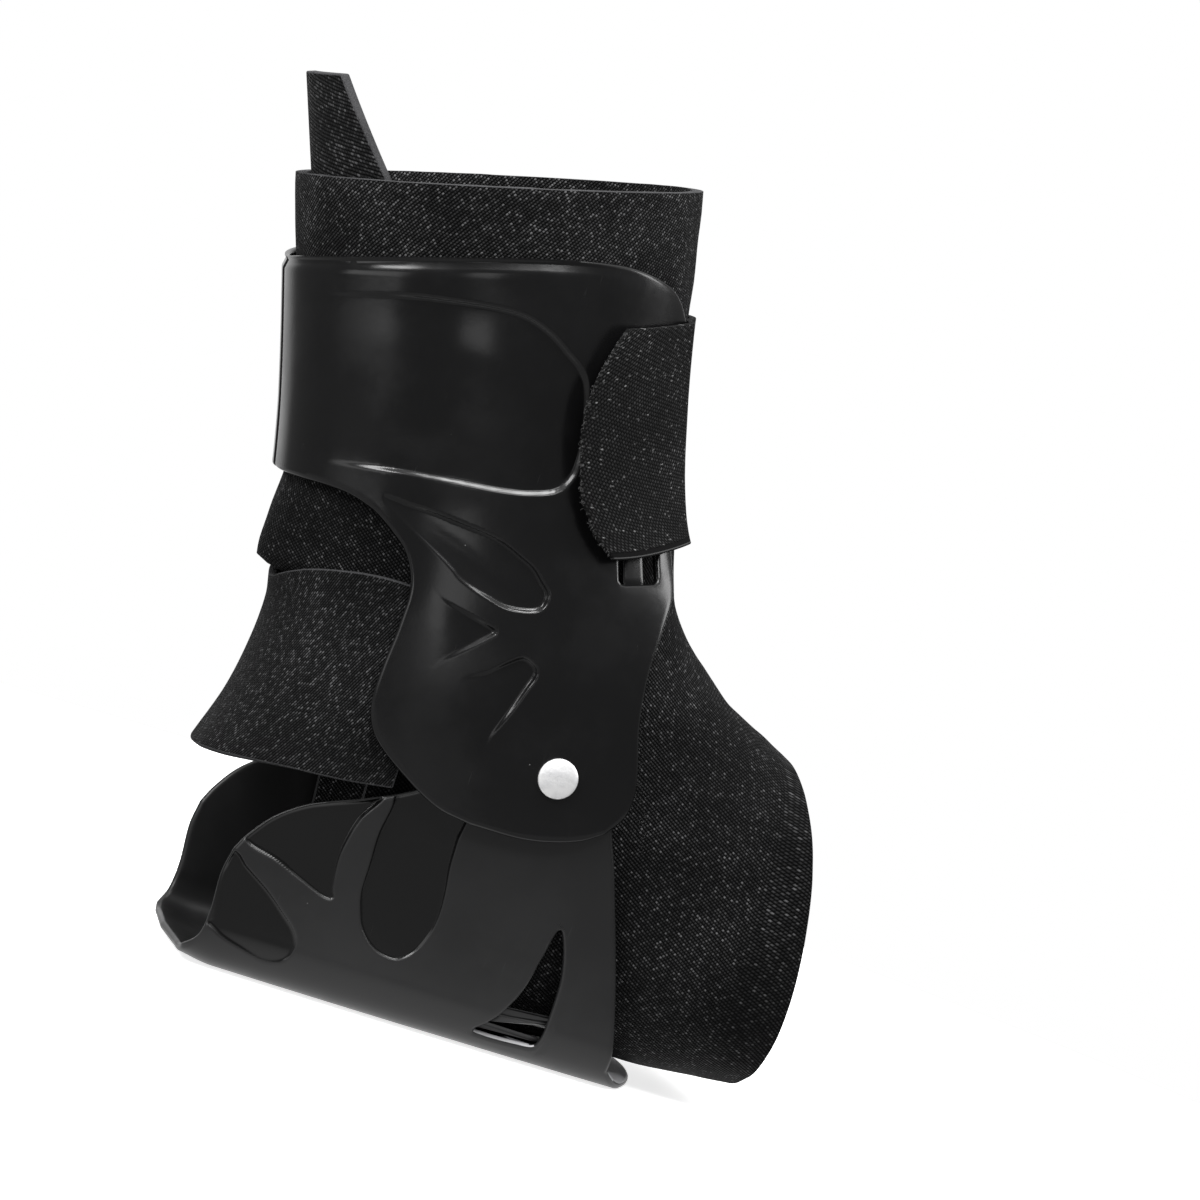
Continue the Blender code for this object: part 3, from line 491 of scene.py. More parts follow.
def makeThreads():
    # crossing threads of a cloth that lies flat in metres
    group, given, result = newGroup(
        "crossingThreads",
        {
            "Flat": None, "Pitch across": 0.001, "Pitch along": 0.001, "Turn": 0.0,
            "Stagger": 0.5, "Waver": 0.2, "Steps": 0.5,
        },
        ("Height", "Thread"),
    )
    turn = group.nodes.new("ShaderNodeVectorRotate")
    turn.rotation_type = "Z_AXIS"
    feed(group, turn, {"Vector": given["Flat"], "Angle": given["Turn"]})
    wander = noiseOf(group, turn.outputs[0], 160.0, 1.0)
    across, along, _ = parts(group, turn.outputs[0])
    drift = times(group, minus(group, wander, 0.5), given["Waver"])
    p = plus(group, maths(group, "DIVIDE", across, given["Pitch across"]), drift)
    column = maths(group, "FLOOR", p)
    lift = times(group, column, given["Stagger"])
    q = plus(group, maths(group, "DIVIDE", along, given["Pitch along"]), lift)
    q = plus(group, q, drift)
    row = maths(group, "FLOOR", q)

    def hump(value, power):
        centred = minus(group, times(group, maths(group, "FRACT", value), 2.0), 1.0)
        return minus(group, 1.0, maths(group, "POWER", maths(group, "ABSOLUTE", centred), power))

    steps = times(group, minus(group, hump(q, 2.6), 1.0), given["Steps"])
    height = times(group, hump(p, 2.0), plus(group, steps, 1.0))
    group.links.new(height, result["Height"])
    cell = group.nodes.new("ShaderNodeCombineXYZ")
    feed(group, cell, {0: column, 1: row})
    chances = group.nodes.new("ShaderNodeTexWhiteNoise")
    chances.noise_dimensions = "2D"
    feed(group, chances, {"Vector": cell.outputs[0]})
    group.links.new(chances.outputs["Value"], result["Thread"])
    return group


def makeGlints():
    # scattered small bright points: dust on plastic
    group, given, result = newGroup(
        "scatteredGlints", {"Place": None, "Spacing": 0.001, "Share": 0.1, "Size": 0.2}, ("Mask",)
    )
    scaled = vectorMaths(group, "SCALE", given["Place"], maths(group, "DIVIDE", 1.0, given["Spacing"]))
    cells = group.nodes.new("ShaderNodeTexVoronoi")
    feed(group, cells, {"Scale": 1.0, "Vector": scaled})
    apart = group.nodes.new("ShaderNodeSeparateColor")
    feed(group, apart, {0: cells.outputs["Color"]})
    picked, size, light = apart.outputs
    chosen = maths(group, "LESS_THAN", picked, given["Share"])
    radius = times(group, given["Size"], plus(group, size, 0.4))
    spot = ramp(group, maths(group, "DIVIDE", cells.outputs["Distance"], radius), 0.6, 1.0, 1.0, 0.0)
    strength = times(group, chosen, plus(group, times(group, light, 0.7), 0.3))
    group.links.new(times(group, spot, strength), result["Mask"])
    return group


def makeHandling():
    # faint mottling, fine scratches and rubbed patches of moulded or worn surfaces
    group, given, result = newGroup("handling", {"Place": None, "Scale": 1.0}, ("Mottle", "Scratch", "Grain"))
    scaled = vectorMaths(group, "SCALE", given["Place"], given["Scale"])
    mottle = noiseOf(group, scaled, 38.0, 5.0, 0.62)
    group.links.new(ramp(group, mottle, 0.38, 0.68), result["Mottle"])
    stretched = group.nodes.new("ShaderNodeMapping")
    feed(group, stretched, {"Rotation": (0.35, 0.5, 0.9), "Scale": (1.0, 1.0, 0.06), "Vector": scaled})
    lines = noiseOf(group, stretched.outputs[0], 900.0, 2.0, 0.6)
    patches = ramp(group, noiseOf(group, scaled, 55.0, 2.0), 0.52, 0.66)
    group.links.new(times(group, ramp(group, lines, 0.66, 0.74), patches), result["Scratch"])
    group.links.new(noiseOf(group, scaled, 1400.0, 2.0), result["Grain"])
    return group


threads, glints, handling = makeThreads(), makeGlints(), makeHandling()


def newMaterial(name, settings):
    made = bpy.data.materials.new(name)
    made.use_nodes = True
    tree = made.node_tree
    shader = tree.nodes["Principled BSDF"]
    feed(tree, shader, settings)
    return made, tree, shader, tree.nodes.new("ShaderNodeTexCoord").outputs["Object"]


def useGroup(tree, group, **values):
    node = tree.nodes.new("ShaderNodeGroup")
    node.node_tree = group
    feed(tree, node, {title.replace("_", " "): value for title, value in values.items()})
    return node.outputs


def shadeOf(colour, amount):
    return tuple(channel * amount for channel in colour)


def grey(amount):
    return (amount, amount, amount)


def mixColour(tree, factor, first, second):
    node = tree.nodes.new("ShaderNodeMix")
    node.data_type = "RGBA"
    first, second = ((*value, 1) if isinstance(value, tuple) else value for value in (first, second))
    feed(tree, node, {"Factor": factor, 6: first, 7: second})
    return node.outputs[2]


def bump(tree, shader, height, distance, strength=1.0):
    node = tree.nodes.new("ShaderNodeBump")
    feed(tree, node, {"Distance": distance, "Strength": strength, "Height": height})
    feed(tree, shader, {"Normal": node.outputs[0]})


def makeCloth(name, dark, bright, knit, sparkle, relief, dots=None, edge=None, paintedTopLight=None):
    # knitted or woven face of the cloth, with painted highlights on the thread tops and sparkling threads and
    # painted shade in the gaps; the piece's own map gives its place on the flat cloth in metres
    made, tree, shader, spot = newMaterial(
        name, {"Specular IOR Level": 0.05, "Sheen Weight": 0.01, "Sheen Roughness": 0.5}
    )
    ownMap = tree.nodes.new("ShaderNodeUVMap")
    ownMap.uv_map = "UVMap"
    flat = ownMap.outputs[0]
    woven = useGroup(
        tree, threads, Flat=flat, Pitch_across=knit["rib"], Pitch_along=knit["step"],
        Turn=math.radians(knit["turn"]), Stagger=knit["stagger"], Waver=knit["waver"], Steps=knit["steps"],
    )
    worn = useGroup(tree, handling, Place=spot, Scale=0.8)
    height = woven["Height"]
    if edge:  # a woven edge without the pattern: the middle across, and how far out the pattern goes
        away = maths(tree, "ABSOLUTE", minus(tree, parts(tree, flat)[1], edge[0]))
        inner = ramp(tree, away, edge[1] - 0.0004, edge[1], 1.0, 0.0)
        height = times(tree, height, inner)
    # painted highlights: a few threads sparkle and all thread tops are lighter, while the gaps between threads
    # are painted dark
    rare = times(tree, maths(tree, "POWER", woven["Thread"], sparkle), 0.9)
    threadLight = plus(tree, rare, plus(tree, times(tree, woven["Thread"], 0.2), 0.10))
    lit = times(tree, maths(tree, "POWER", height, 2.5), threadLight)
    lit = times(tree, lit, plus(tree, times(tree, worn["Mottle"], 0.7), 0.6))
    # painted light: the colour is made lighter towards the top, as if more light fell there
    if paintedTopLight:  # brighter with height: from and to these heights, by these factors
        lit = times(tree, lit, ramp(tree, parts(tree, spot)[2], *paintedTopLight))
    shade = mixColour(tree, lit, dark, bright)
    # painted highlights: the small loops are lightened in colour as if catching the light
    if dots:  # columns of small bright loops: spacing across and along, share of them
        loops = useGroup(
            tree, threads, Flat=flat, Pitch_across=dots[0], Pitch_along=dots[1], Turn=0.0,
            Stagger=0.37, Waver=0.15, Steps=1.0,
        )
        chosen = ramp(tree, loops["Thread"], dots[2], 1.0)
        loop = times(tree, maths(tree, "POWER", loops["Height"], 30.0), chosen)
        shade = mixColour(tree, times(tree, loop, inner) if edge else loop, shade, grey(0.25))
    if edge:  # a lighter thread runs along it
        thread = maths(tree, "ABSOLUTE", minus(tree, away, edge[1] + 0.0012))
        shade = mixColour(tree, ramp(tree, thread, 0.00008, 0.0002, 0.4, 0.0), shade, grey(0.16))
    feed(tree, shader, {"Base Color": shade, "Roughness": ramp(tree, height, 0.2, 1.0, 0.9, 0.6)})
    bump(tree, shader, height, relief)
    return made


def makeCutEdge(name, colour):
    # the foam that shows where the cloth is cut: fine pores between two thin faces
    made, tree, shader, spot = newMaterial(name, {"Specular IOR Level": 0.25})
    pores = noiseOf(tree, spot, 2600.0, 2.0, 0.6)
    worn = useGroup(tree, handling, Place=spot, Scale=1.6)
    shade = mixColour(tree, ramp(tree, pores, 0.3, 0.7), shadeOf(colour, 0.45), colour)
    shade = mixColour(tree, times(tree, worn["Mottle"], 0.4), shade, shadeOf(colour, 1.5))
    feed(tree, shader, {"Base Color": shade, "Roughness": ramp(tree, pores, 0.3, 0.7, 0.95, 0.8)})
    bump(tree, shader, pores, 0.0003)
    return made


def makePlastic(name, colour, roughness, dust=0.05, hollowShadeAndGloss=0.0, rubbed=1.35):
    made, tree, shader, spot = newMaterial(name, {"Specular IOR Level": 0.42, "IOR": 1.48})
    worn = useGroup(tree, handling, Place=spot, Scale=1.0)
    specks = useGroup(tree, glints, Place=spot, Spacing=0.0042, Share=dust, Size=0.045)
    mottle, scratch, grain = worn
    shade = mixColour(tree, times(tree, mottle, 0.6), colour, shadeOf(colour, rubbed))
    shade = mixColour(tree, times(tree, scratch, 0.5), shade, shadeOf(colour, 2.5))
    rough = ramp(tree, mottle, 0.0, 1.0, roughness - 0.035, roughness + 0.05)
    rough = plus(tree, rough, times(tree, scratch, 0.12))
    # painted shade: the floors of the moulded recesses are darkened in colour as if shade fell in them, and
    # also made smoother
    if hollowShadeAndGloss:  # the floors of the moulded recesses are darker and smoother
        sunk = tree.nodes.new("ShaderNodeAttribute")
        sunk.attribute_name = "sunk"
        shadedFloors = ramp(tree, sunk.outputs["Fac"], 0.15, 0.5)
        shade = mixColour(tree, times(tree, shadedFloors, 0.95), shade, grey(0.001))
        rough = minus(tree, rough, times(tree, shadedFloors, hollowShadeAndGloss))
    shade = mixColour(tree, specks["Mask"], shade, grey(0.30))
    rough = plus(tree, rough, times(tree, specks["Mask"], 0.4))
    feed(tree, shader, {"Base Color": shade, "Roughness": rough})
    uneven = plus(tree, times(tree, grain, 0.12), times(tree, mottle, 0.6))
    bump(tree, shader, uneven, 0.00006, 0.6)
    return made


def makeMetal(name):
    made, tree, shader, spot = newMaterial(name, {"Metallic": 0.5})
    mottle, scratch, _ = useGroup(tree, handling, Place=spot, Scale=4.5)
    shade = mixColour(tree, mottle, grey(0.95), (0.74, 0.74, 0.75))
    shade = mixColour(tree, scratch, shade, (0.45, 0.45, 0.46))
    feed(tree, shader, {"Base Color": shade, "Roughness": ramp(tree, mottle, 0.0, 1.0, 0.38, 0.52)})
    bump(tree, shader, plus(tree, times(tree, scratch, -0.5), mottle), 0.00009)
    return made


knits = {
    "sleeve": {"rib": 0.00086, "step": 0.00080, "turn": -58, "stagger": 0.3, "waver": 0.25, "steps": 0.6},
    "band": {"rib": 0.00070, "step": 0.00085, "turn": 32, "stagger": 0.4, "waver": 0.2, "steps": 0.35},
    "tab": {"rib": 0.00105, "step": 0.00100, "turn": 78, "stagger": 0.4, "waver": 0.6, "steps": 0.45},
    "strap": {"rib": 0.00105, "step": 0.00105, "turn": 42, "stagger": 0.5, "waver": 0.15, "steps": 0.9},
}
finish = {
    "sleeve": makeCloth(
        "sleeveKnit", (0.0012, 0.0012, 0.0013), (0.116, 0.116, 0.118), knits["sleeve"], 12.0, 0.0003,
        paintedTopLight=(0.165, 0.20, 1.0, 1.6),
    ),
    "band": makeCloth("bandKnit", (0.0020, 0.0020, 0.0021), (0.098, 0.098, 0.100), knits["band"], 8.0, 0.00025),
    "tab": makeCloth("tabCloth", (0.0028, 0.0028, 0.0029), (0.102, 0.102, 0.104), knits["tab"], 6.0, 0.00022),
    "strap": makeCloth(
        "strapWeave", (0.0050, 0.0050, 0.0051), (0.118, 0.118, 0.119), knits["strap"], 20.0, 0.0003,
        dots=(0.0041, 0.0013, 0.7), edge=(0.0325, 0.0308),
    ),
    "foam": makeCutEdge("cutFoam", (0.045, 0.045, 0.047)),
    "cuff": makePlastic("cuffPlastic", (0.0040, 0.0040, 0.0042), 0.21),
    # the stirrup's recess floors carry painted shade
    "stirrup": makePlastic("stirrupPlastic", (0.010, 0.010, 0.0103), 0.36, 0.04, 0.2),
    # painted reflection: the inner floor of the sole gets a light grey colour that stands in for the bright
    # backdrop it reflects
    "insidePaintedLight": makePlastic("paintedLightInside", (0.45, 0.45, 0.46), 0.5, 0.0, 0.0, 0.5),
    "fibre": makeCutEdge("looseFibre", (0.10, 0.10, 0.10)),
    "metal": makeMetal("rivetAluminium"),
}
print("finishes made")


# ---- the cuff

cuff = {
    "wall": 0.0024,
    "gap": 0.0004,
    "outside": 0.0485,  # half its width over the lobes
    "top": 0.1347,
    "waist": 0.0745,
    "lobeDrop": 0.0172,
    "groove": 0.0011,  # down the back, where the two sides hinge
    "relief": 0.0012,
    "rimRound": 0.0014,  # how far the top edge falls away
    "cornerShare": 0.35,
    "cell": 0.0011,
    "rings": (0.00014, 0.00045, 0.00083, 0.0012),  # finer rows along a rim
    "topLength": 0.140,  # half way round the top edge
    "frontLength": 0.066,  # these four count the rows and columns of faces
    "strapLength": 0.0252,
    "bandHeight": 0.0605,
    "lobeHeight": 0.078,
    "columnShares": (0.16, 0.82),  # of the top edge: where the columns of faces change their width
    "grooveColumns": (0.0, 0.0004, 0.0009, 0.0014, 0.0018, 0.0022, 0.0027, 0.0034, 0.0045),
    # angle round the shaft from the back, height as a share of the top's
    "topEdge": (
        (0, 0.968), (33, 0.983), (66, 0.995), (100, 1.0), (123, 0.992), (136, 0.971), (147, 0.934),
        (154, 0.878),
    ),
    # angle, height as a share of the waist's
    "waistEdge": ((0, 1.0), (21, 0.987), (36, 0.962), (45.6, 0.909), (51, 0.85)),
    "lobeBack": (
        (51, 0.85), (55.8, 0.772), (57, 0.662), (53.7, 0.536), (48, 0.361), (45.5, 0.236), (46.4, 0.126),
        (52.7, -0.002), (61, -0.115), (70, -0.172),
    ),
    "lobeFront": (
        (146, 0.79), (140.5, 0.656), (132.3, 0.522), (124.3, 0.365), (120.1, 0.19), (119, -0.035),
        (116.5, -0.135), (111, -0.2),
    ),
    # angle, height as a share of the lobe's drop below the rivets
    "lobeLow": ((70, -0.745), (84, -0.94), (94, -1.0), (104, -0.975), (111, -0.866)),
    # height as a share of the waist's, forward, deeper, stand off, squareness
    "sections": (
        (1.9, 0.0, 0.0, 0.0, 2.1),
        (1.27, 0.0, 0.0, 0.0, 2.15),
        (1.0, 0.0, 0.02, 0.03, 2.2),
        (0.8, 0.05, 0.12, 0.2, 2.3),
        (0.577, 0.25, 0.42, 0.62, 2.6),
        (0.30, 0.53, 0.75, 1.0, 2.9),
        (0.0, 0.66, 0.8, 1.0, 3.3),
        (-0.4, 0.66, 0.8, 1.0, 3.3),
    ),
    # moulded recesses: forward as a share of the shaft's depth, height as a share of the waist's.
    # Each fades out backwards between its two fade shares, along a line that may slant, and its floor swells.
    "recesses": (
        {
            "fade": (-0.60, -0.34),
            "slant": 0.0,
            "slope": 0.0007,
            "swell": 0.5,
            "outline": (
                (-0.68, 1.62), (-0.56, 1.645), (-0.42, 1.658), (-0.31, 1.65), (-0.20, 1.632), (-0.126, 1.604),
                (-0.064, 1.548), (-0.02, 1.485), (0.015, 1.43), (0.034, 1.36), (0.034, 1.2),
                (0.02, 1.09), (0.0, 1.035), (-0.035, 1.0), (-0.10, 0.992), (-0.16, 0.998),
                (-0.21, 1.008), (-0.28, 1.024), (-0.34, 1.036), (-0.42, 1.05), (-0.56, 1.06), (-0.68, 1.06),
            ),
        },
        {
            "fade": (-0.47, -0.32),
            "slant": 0.715,
            "slope": 0.0006,
            "swell": 0.3,
            "outline": (
                (-0.44, 0.945), (-0.376, 0.93), (-0.316, 0.906), (-0.258, 0.877), (-0.195, 0.844),
                (-0.152, 0.812), (-0.111, 0.768), (-0.08, 0.731), (-0.058, 0.683), (-0.043, 0.648),
                (-0.046, 0.615), (-0.06, 0.59), (-0.093, 0.583), (-0.146, 0.593), (-0.189, 0.623),
                (-0.229, 0.655), (-0.264, 0.691), (-0.292, 0.738),
            ),
        },
        {
            "fade": (-0.33, -0.15),
            "slant": 0.0,
            "slope": 0.0006,
            "swell": 0.0,
            "outline": (
                (-0.37, 0.665), (-0.29, 0.605), (-0.262, 0.583), (-0.182, 0.524), (-0.17, 0.508),
                (-0.182, 0.493), (-0.257, 0.435), (-0.29, 0.41), (-0.37, 0.355),
            ),
        },
        {
            "fade": (-0.40, -0.22),
            "slant": 0.233,
            "slope": 0.0006,
            "swell": 0.0,
            "outline": (
                (-0.26, 0.31), (-0.182, 0.368), (-0.125, 0.408), (-0.096, 0.418), (-0.07, 0.392),
                (-0.066, 0.36), (-0.088, 0.312), (-0.125, 0.234), (-0.166, 0.157), (-0.207, 0.083),
            ),
        },
    ),
    # the strap's window, from the rivet: rear, front, low, high, corner
    "window": (0.0153, 0.0262, 0.0508, 0.1138, 0.0011),
    # the bar across it: rear, front, depth under the outside, thickness
    "bar": (0.0166, 0.0228, 0.0006, 0.0014),
    "slotAt": 0.0246,  # where the strap goes through
}


def cuffSurface(degrees, height, lift=0.0):
    angle = math.radians(degrees)
    front, back, width, _ = shaftSection(height)
    forward, deeper, standOff, squareness = tableAt(cuff["sections"], height / cuff["waist"])
    wall = cuff["gap"] + cuff["wall"]
    width += wall
    width += (cuff["outside"] - width) * standOff
    # the front and back halves differ in depth, so the change is eased across the side
    share = smoothStep(60, 120, degrees)
    depth = back + 0.0009 + (front - back - 0.0009) * share + wall + shaft["setBack"] * deeper
    out = reach(angle, depth, width, squareness) + lift
    return shaftPoint(-shaft["setBack"] * (1 - forward) - out * math.cos(angle), -out * math.sin(angle), height)


def heightOn(points, angle):
    low, high = 0.0, 1.0
    for _ in range(22):
        middle = (low + high) / 2
        if curveAt(points, middle)[0] < angle:
            low = middle
        else:
            high = middle
    return curveAt(points, high)[1]


def angleAt(forward, height):
    # the angle round the shaft at which the cuff's face lies that far ahead of the rivets
    low, high = 20.0, 178.0
    for _ in range(26):
        middle = (low + high) / 2
        if shaftFlat(cuffSurface(middle, height))[0] < forward:
            low = middle
        else:
            high = middle
    return high


def millimetres(points, size):
    return [(angle, height * size * 1000) for angle, height in points]


def makeCuff():
    top = millimetres(cuff["topEdge"], cuff["top"])
    waist = millimetres(cuff["waistEdge"], cuff["waist"])
    back = millimetres(cuff["lobeBack"], cuff["waist"])
    front = millimetres(cuff["lobeFront"], cuff["waist"])
    low = millimetres(cuff["lobeLow"], cuff["lobeDrop"])
    frontCorner = front[0]
    corner = cuff["cornerShare"]
    wide, strapped = cuff["columnShares"]
    columns = [step / cuff["topLength"] for step in cuff["grooveColumns"]]
    columns += [columns[-1] + (wide - columns[-1]) * (i + 1) / 12 for i in range(12)]
    columns += [wide + (corner - wide) * (i + 1) / 33 for i in range(33)]
    finer = spread(cuff["frontLength"], cuff["cell"] * 0.9, cuff["rings"])[1:]
    columns += [corner + (strapped - corner) * share for share in finer]
    coarser = spread(cuff["strapLength"], 0.0013, (), cuff["rings"])[1:]
    columns += [strapped + 0.18 * share for share in coarser]
    topHeights = {u: heightOn(top, top[-1][0] * u) for u in columns}
    waistAt = {}
    for u in columns:
        if u <= corner:
            angle = waist[-1][0] * u / corner
            waistAt[u] = (angle, heightOn(waist, angle))
        else:
            t = (u - corner) / (1 - corner)
            (angle, height), (lastAngle, lastHeight) = waist[-1], frontCorner
            waistAt[u] = (angle + (lastAngle - angle) * t, height + (lastHeight - height) * t**0.7)

    def bandPoint(u, v):
        angle, height = top[-1][0] * u, topHeights[u]
        lowAngle, lowHeight = waistAt[u]
        return cuffSurface(angle + (lowAngle - angle) * v**2, (height + (lowHeight - height) * v) / 1000)

    back, front = back[:-1] + [low[0]], front[:-1] + [low[-1]]
    corners = (back[0], front[0], back[-1], front[-1])

    def lobePoint(u, v):
        t = (u - corner) / (1 - corner)
        sides = (waistAt[u], curveAt(low, t), curveAt(back, v), curveAt(front, v))
        angle, height = bilinear(*sides, corners, t, v)
        return cuffSurface(angle, height / 1000)

    mesh = bmesh.new()
    rows = spread(cuff["bandHeight"], cuff["cell"] * 1.05, cuff["rings"], cuff["rings"])
    patch(mesh, columns, rows, bandPoint)
    rows = spread(cuff["lobeHeight"], cuff["cell"], (), cuff["rings"])
    patch(mesh, [u for u in columns if u >= corner], rows, lobePoint)
    bmesh.ops.remove_doubles(mesh, verts=mesh.verts, dist=1e-6)
    rear, ahead, bottom, high, rounded = cuff["window"]
    window = []
    # the four rounded corners, from the lower front one upwards
    for x, z, start in (
        (ahead - rounded, bottom + rounded, -90),
        (ahead - rounded, high - rounded, 0),
        (rear + rounded, high - rounded, 90),
        (rear + rounded, bottom + rounded, 180),
    ):
        for step in range(7):
            turn = math.radians(start + 15 * step)
            window.append((x + rounded * math.cos(turn), z + rounded * math.sin(turn)))

    def onCuff(forward, height, lift=0.0):
        return cuffSurface(angleAt(forward, height), height, lift)

    openHole(mesh, evenly(np.array(window), 300), (0.0003, 0.0007, 0.0012), shaftFlat, onCuff)
    recesses = []
    for recess in cuff["recesses"]:
        outline = [(shaft["depth"] * f, cuff["waist"] * h) for f, h in recess["outline"]]
        recesses.append((closedCurve(outline, 140), recess))
    refineAlong(mesh, [outline for outline, _ in recesses], shaftFlat, 0.0012)
    otherSide(mesh, shaftPoint(-shaft["setBack"], 0, 0.08))

    def carve(places, depths):
        flats = shaftFlats(places)
        cut = np.zeros(len(places))
        for outline, recess in recesses:
            inside = howFarInside(flats, outline)
            sunk = smoothSteps(-recess["slope"], recess["slope"], inside)
            sunk *= 1 - recess["swell"] * smoothSteps(0.001, 0.014, inside)
            rear = flats[:, 0] / shaft["depth"] + recess["slant"] * (flats[:, 1] / cuff["waist"] - 0.93)
            cut = np.maximum(cut, cuff["relief"] * sunk * smoothSteps(*recess["fade"], rear))
        near = np.abs(places[:, 1])
        behind = flats[:, 0] < -0.03
        cut += np.where(behind, cuff["groove"] * (1 - smoothSteps(0.0005, 0.0020, near)), 0)
        upper = smoothSteps(0.09, 0.105, flats[:, 1])
        upper *= 1 - smoothSteps(-0.01, 0.02, flats[:, 0])
        return -cut - cuff["rimRound"] * upper * (1 - smoothSteps(0.0004, 0.0036, depths))

    giveWall(mesh, cuff["wall"], carve)
    rear, ahead, depth, thick = cuff["bar"]
    tuck = 0.0015  # how far its ends go into the cuff's wall
    tall = high - bottom + 2 * tuck
    rims = (0.0002, 0.0006)
    bar = bmesh.new()
    patch(
        bar, spread(ahead - rear, 0.0009, rims, rims), spread(tall, 0.0015),
        lambda u, v: onCuff(rear + (ahead - rear) * u, bottom - tuck + tall * v, -depth),
    )
    otherSide(bar, shaftPoint(-shaft["setBack"], 0, 0.08))
    giveWall(bar, thick, lambda places, depths: np.zeros(len(places)))
    data = asData("bar", bar)
    mesh.from_mesh(data)
    bpy.data.meshes.remove(data)
    piece = makePiece("cuff", mesh, [finish["cuff"]], "cuff_shell")


makeCuff()


# ---- the stirrup

stirrup = {
    "wall": 0.0022,
    "outside": 0.0453,
    "back": 0.0755,
    "front": 0.041,
    "nose": 0.0145,
    "lip": 0.0022,
    "heelNarrowing": 0.0055,
    "frontWidening": 0.0012,
    "corner": 0.013,
    "flare": 0.005,
    "ear": 0.0165,
    "flareTop": 0.07058,  # the side walls stop leaning here, below the ears
    "relief": 0.0013,
    "cell": 0.00088,
    "rings": (0.00013, 0.00042, 0.00078, 0.0011),
    "wallLength": 0.116,  # these three count the rows and columns of faces
    "wallHeight": 0.077,
    "soleWidth": 0.039,
    "bendShare": 0.3,  # of the rows of the sole, for the bend up into the wall
    # back as a share of its reach, height as a share of the rivets'
    "backEdge": ((1.02, 0.03), (0.985, 0.10), (0.975, 0.2), (0.983, 0.34), (0.97, 0.43)),
    "topEdge": (
        (0.97, 0.43), (0.94, 0.49), (0.875, 0.577), (0.788, 0.645), (0.71, 0.683), (0.596, 0.731),
        (0.434, 0.816), (0.30, 0.93),
    ),
    "frontEdge": (
        (0.40, 1.02), (0.476, 0.877), (0.566, 0.766), (0.646, 0.657), (0.81, 0.426), (0.902, 0.283),
        (0.98, 0.14), (1.0, 0.06),
    ),
    "recesses": (
        (
            (-1.1, 0.44), (-0.963, 0.425), (-0.905, 0.384), (-0.81, 0.327), (-0.735, 0.27), (-0.683, 0.227),
            (-0.658, 0.184), (-0.664, 0.136), (-0.693, 0.107), (-0.748, 0.097), (-0.822, 0.112),
            (-0.902, 0.131), (-0.962, 0.157), (-1.1, 0.2),
        ),
        (
            (-0.99, 0.56), (-0.939, 0.473), (-0.821, 0.439), (-0.726, 0.404), (-0.638, 0.371), (-0.599, 0.365),
            (-0.588, 0.377), (-0.604, 0.422), (-0.616, 0.51), (-0.608, 0.592), (-0.591, 0.662), (-0.54, 0.80),
            (-0.8, 0.80),
        ),
        (
            (-0.50, 0.86), (-0.499, 0.739), (-0.511, 0.632), (-0.506, 0.522), (-0.502, 0.423), (-0.478, 0.344),
            (-0.454, 0.297), (-0.411, 0.256), (-0.363, 0.236), (-0.305, 0.236), (-0.262, 0.274),
            (-0.236, 0.329), (-0.221, 0.401), (-0.225, 0.49), (-0.242, 0.594), (-0.248, 0.682), (-0.26, 0.86),
        ),
    ),
    "sideCut": (
        (0.205, 0.497), (0.235, 0.44), (0.258, 0.366), (0.269, 0.294), (0.272, 0.156), (0.266, 0.092),
        (0.252, 0.072), (0.201, 0.066), (0.139, 0.062), (0.074, 0.062), (0.036, 0.07), (0.073, 0.113),
        (0.106, 0.158), (0.14, 0.223), (0.162, 0.291), (0.172, 0.356), (0.183, 0.413), (0.19, 0.46),
    ),
}


def stirrupHalfWidth(forward, height):
    width = stirrup["outside"]
    if forward > 0:
        ahead = min(1, forward / stirrup["front"])
        width += stirrup["frontWidening"] * (1 - (1 - ahead) ** 2) * max(0.0, 1 - height / shaft["rivetHeight"])
    else:
        width -= stirrup["heelNarrowing"] * (-forward / stirrup["back"]) ** 1.5
    top = stirrup["flareTop"]
    return width - stirrup["flare"] * max(0.0, top - height) / (top - stirrup["corner"])


def stirrupPoint(forward, height, floor=1.0):
    # on the sole, floor runs from 1 at the corner to 0 in the middle
    radius = stirrup["corner"]
    base = stirrupHalfWidth(forward, radius)
    lip = stirrup["lip"] * smoothStep(0.88, 1.08, -forward / stirrup["back"])
    if height >= radius:
        return Vector((forward, -stirrupHalfWidth(forward, height), height))
    if floor < 1.0:
        return Vector((forward, -(base - radius) * floor, lip))
    turn = math.acos(1 - max(0.0, height) / radius)
    rise = lip * (1 - turn / (math.pi / 2)) ** 1.5
    return Vector((forward, -(base - radius) - radius * math.sin(turn), max(height, 0.0) + rise))


def fromTheSide(point):
    return point[0], point[2]


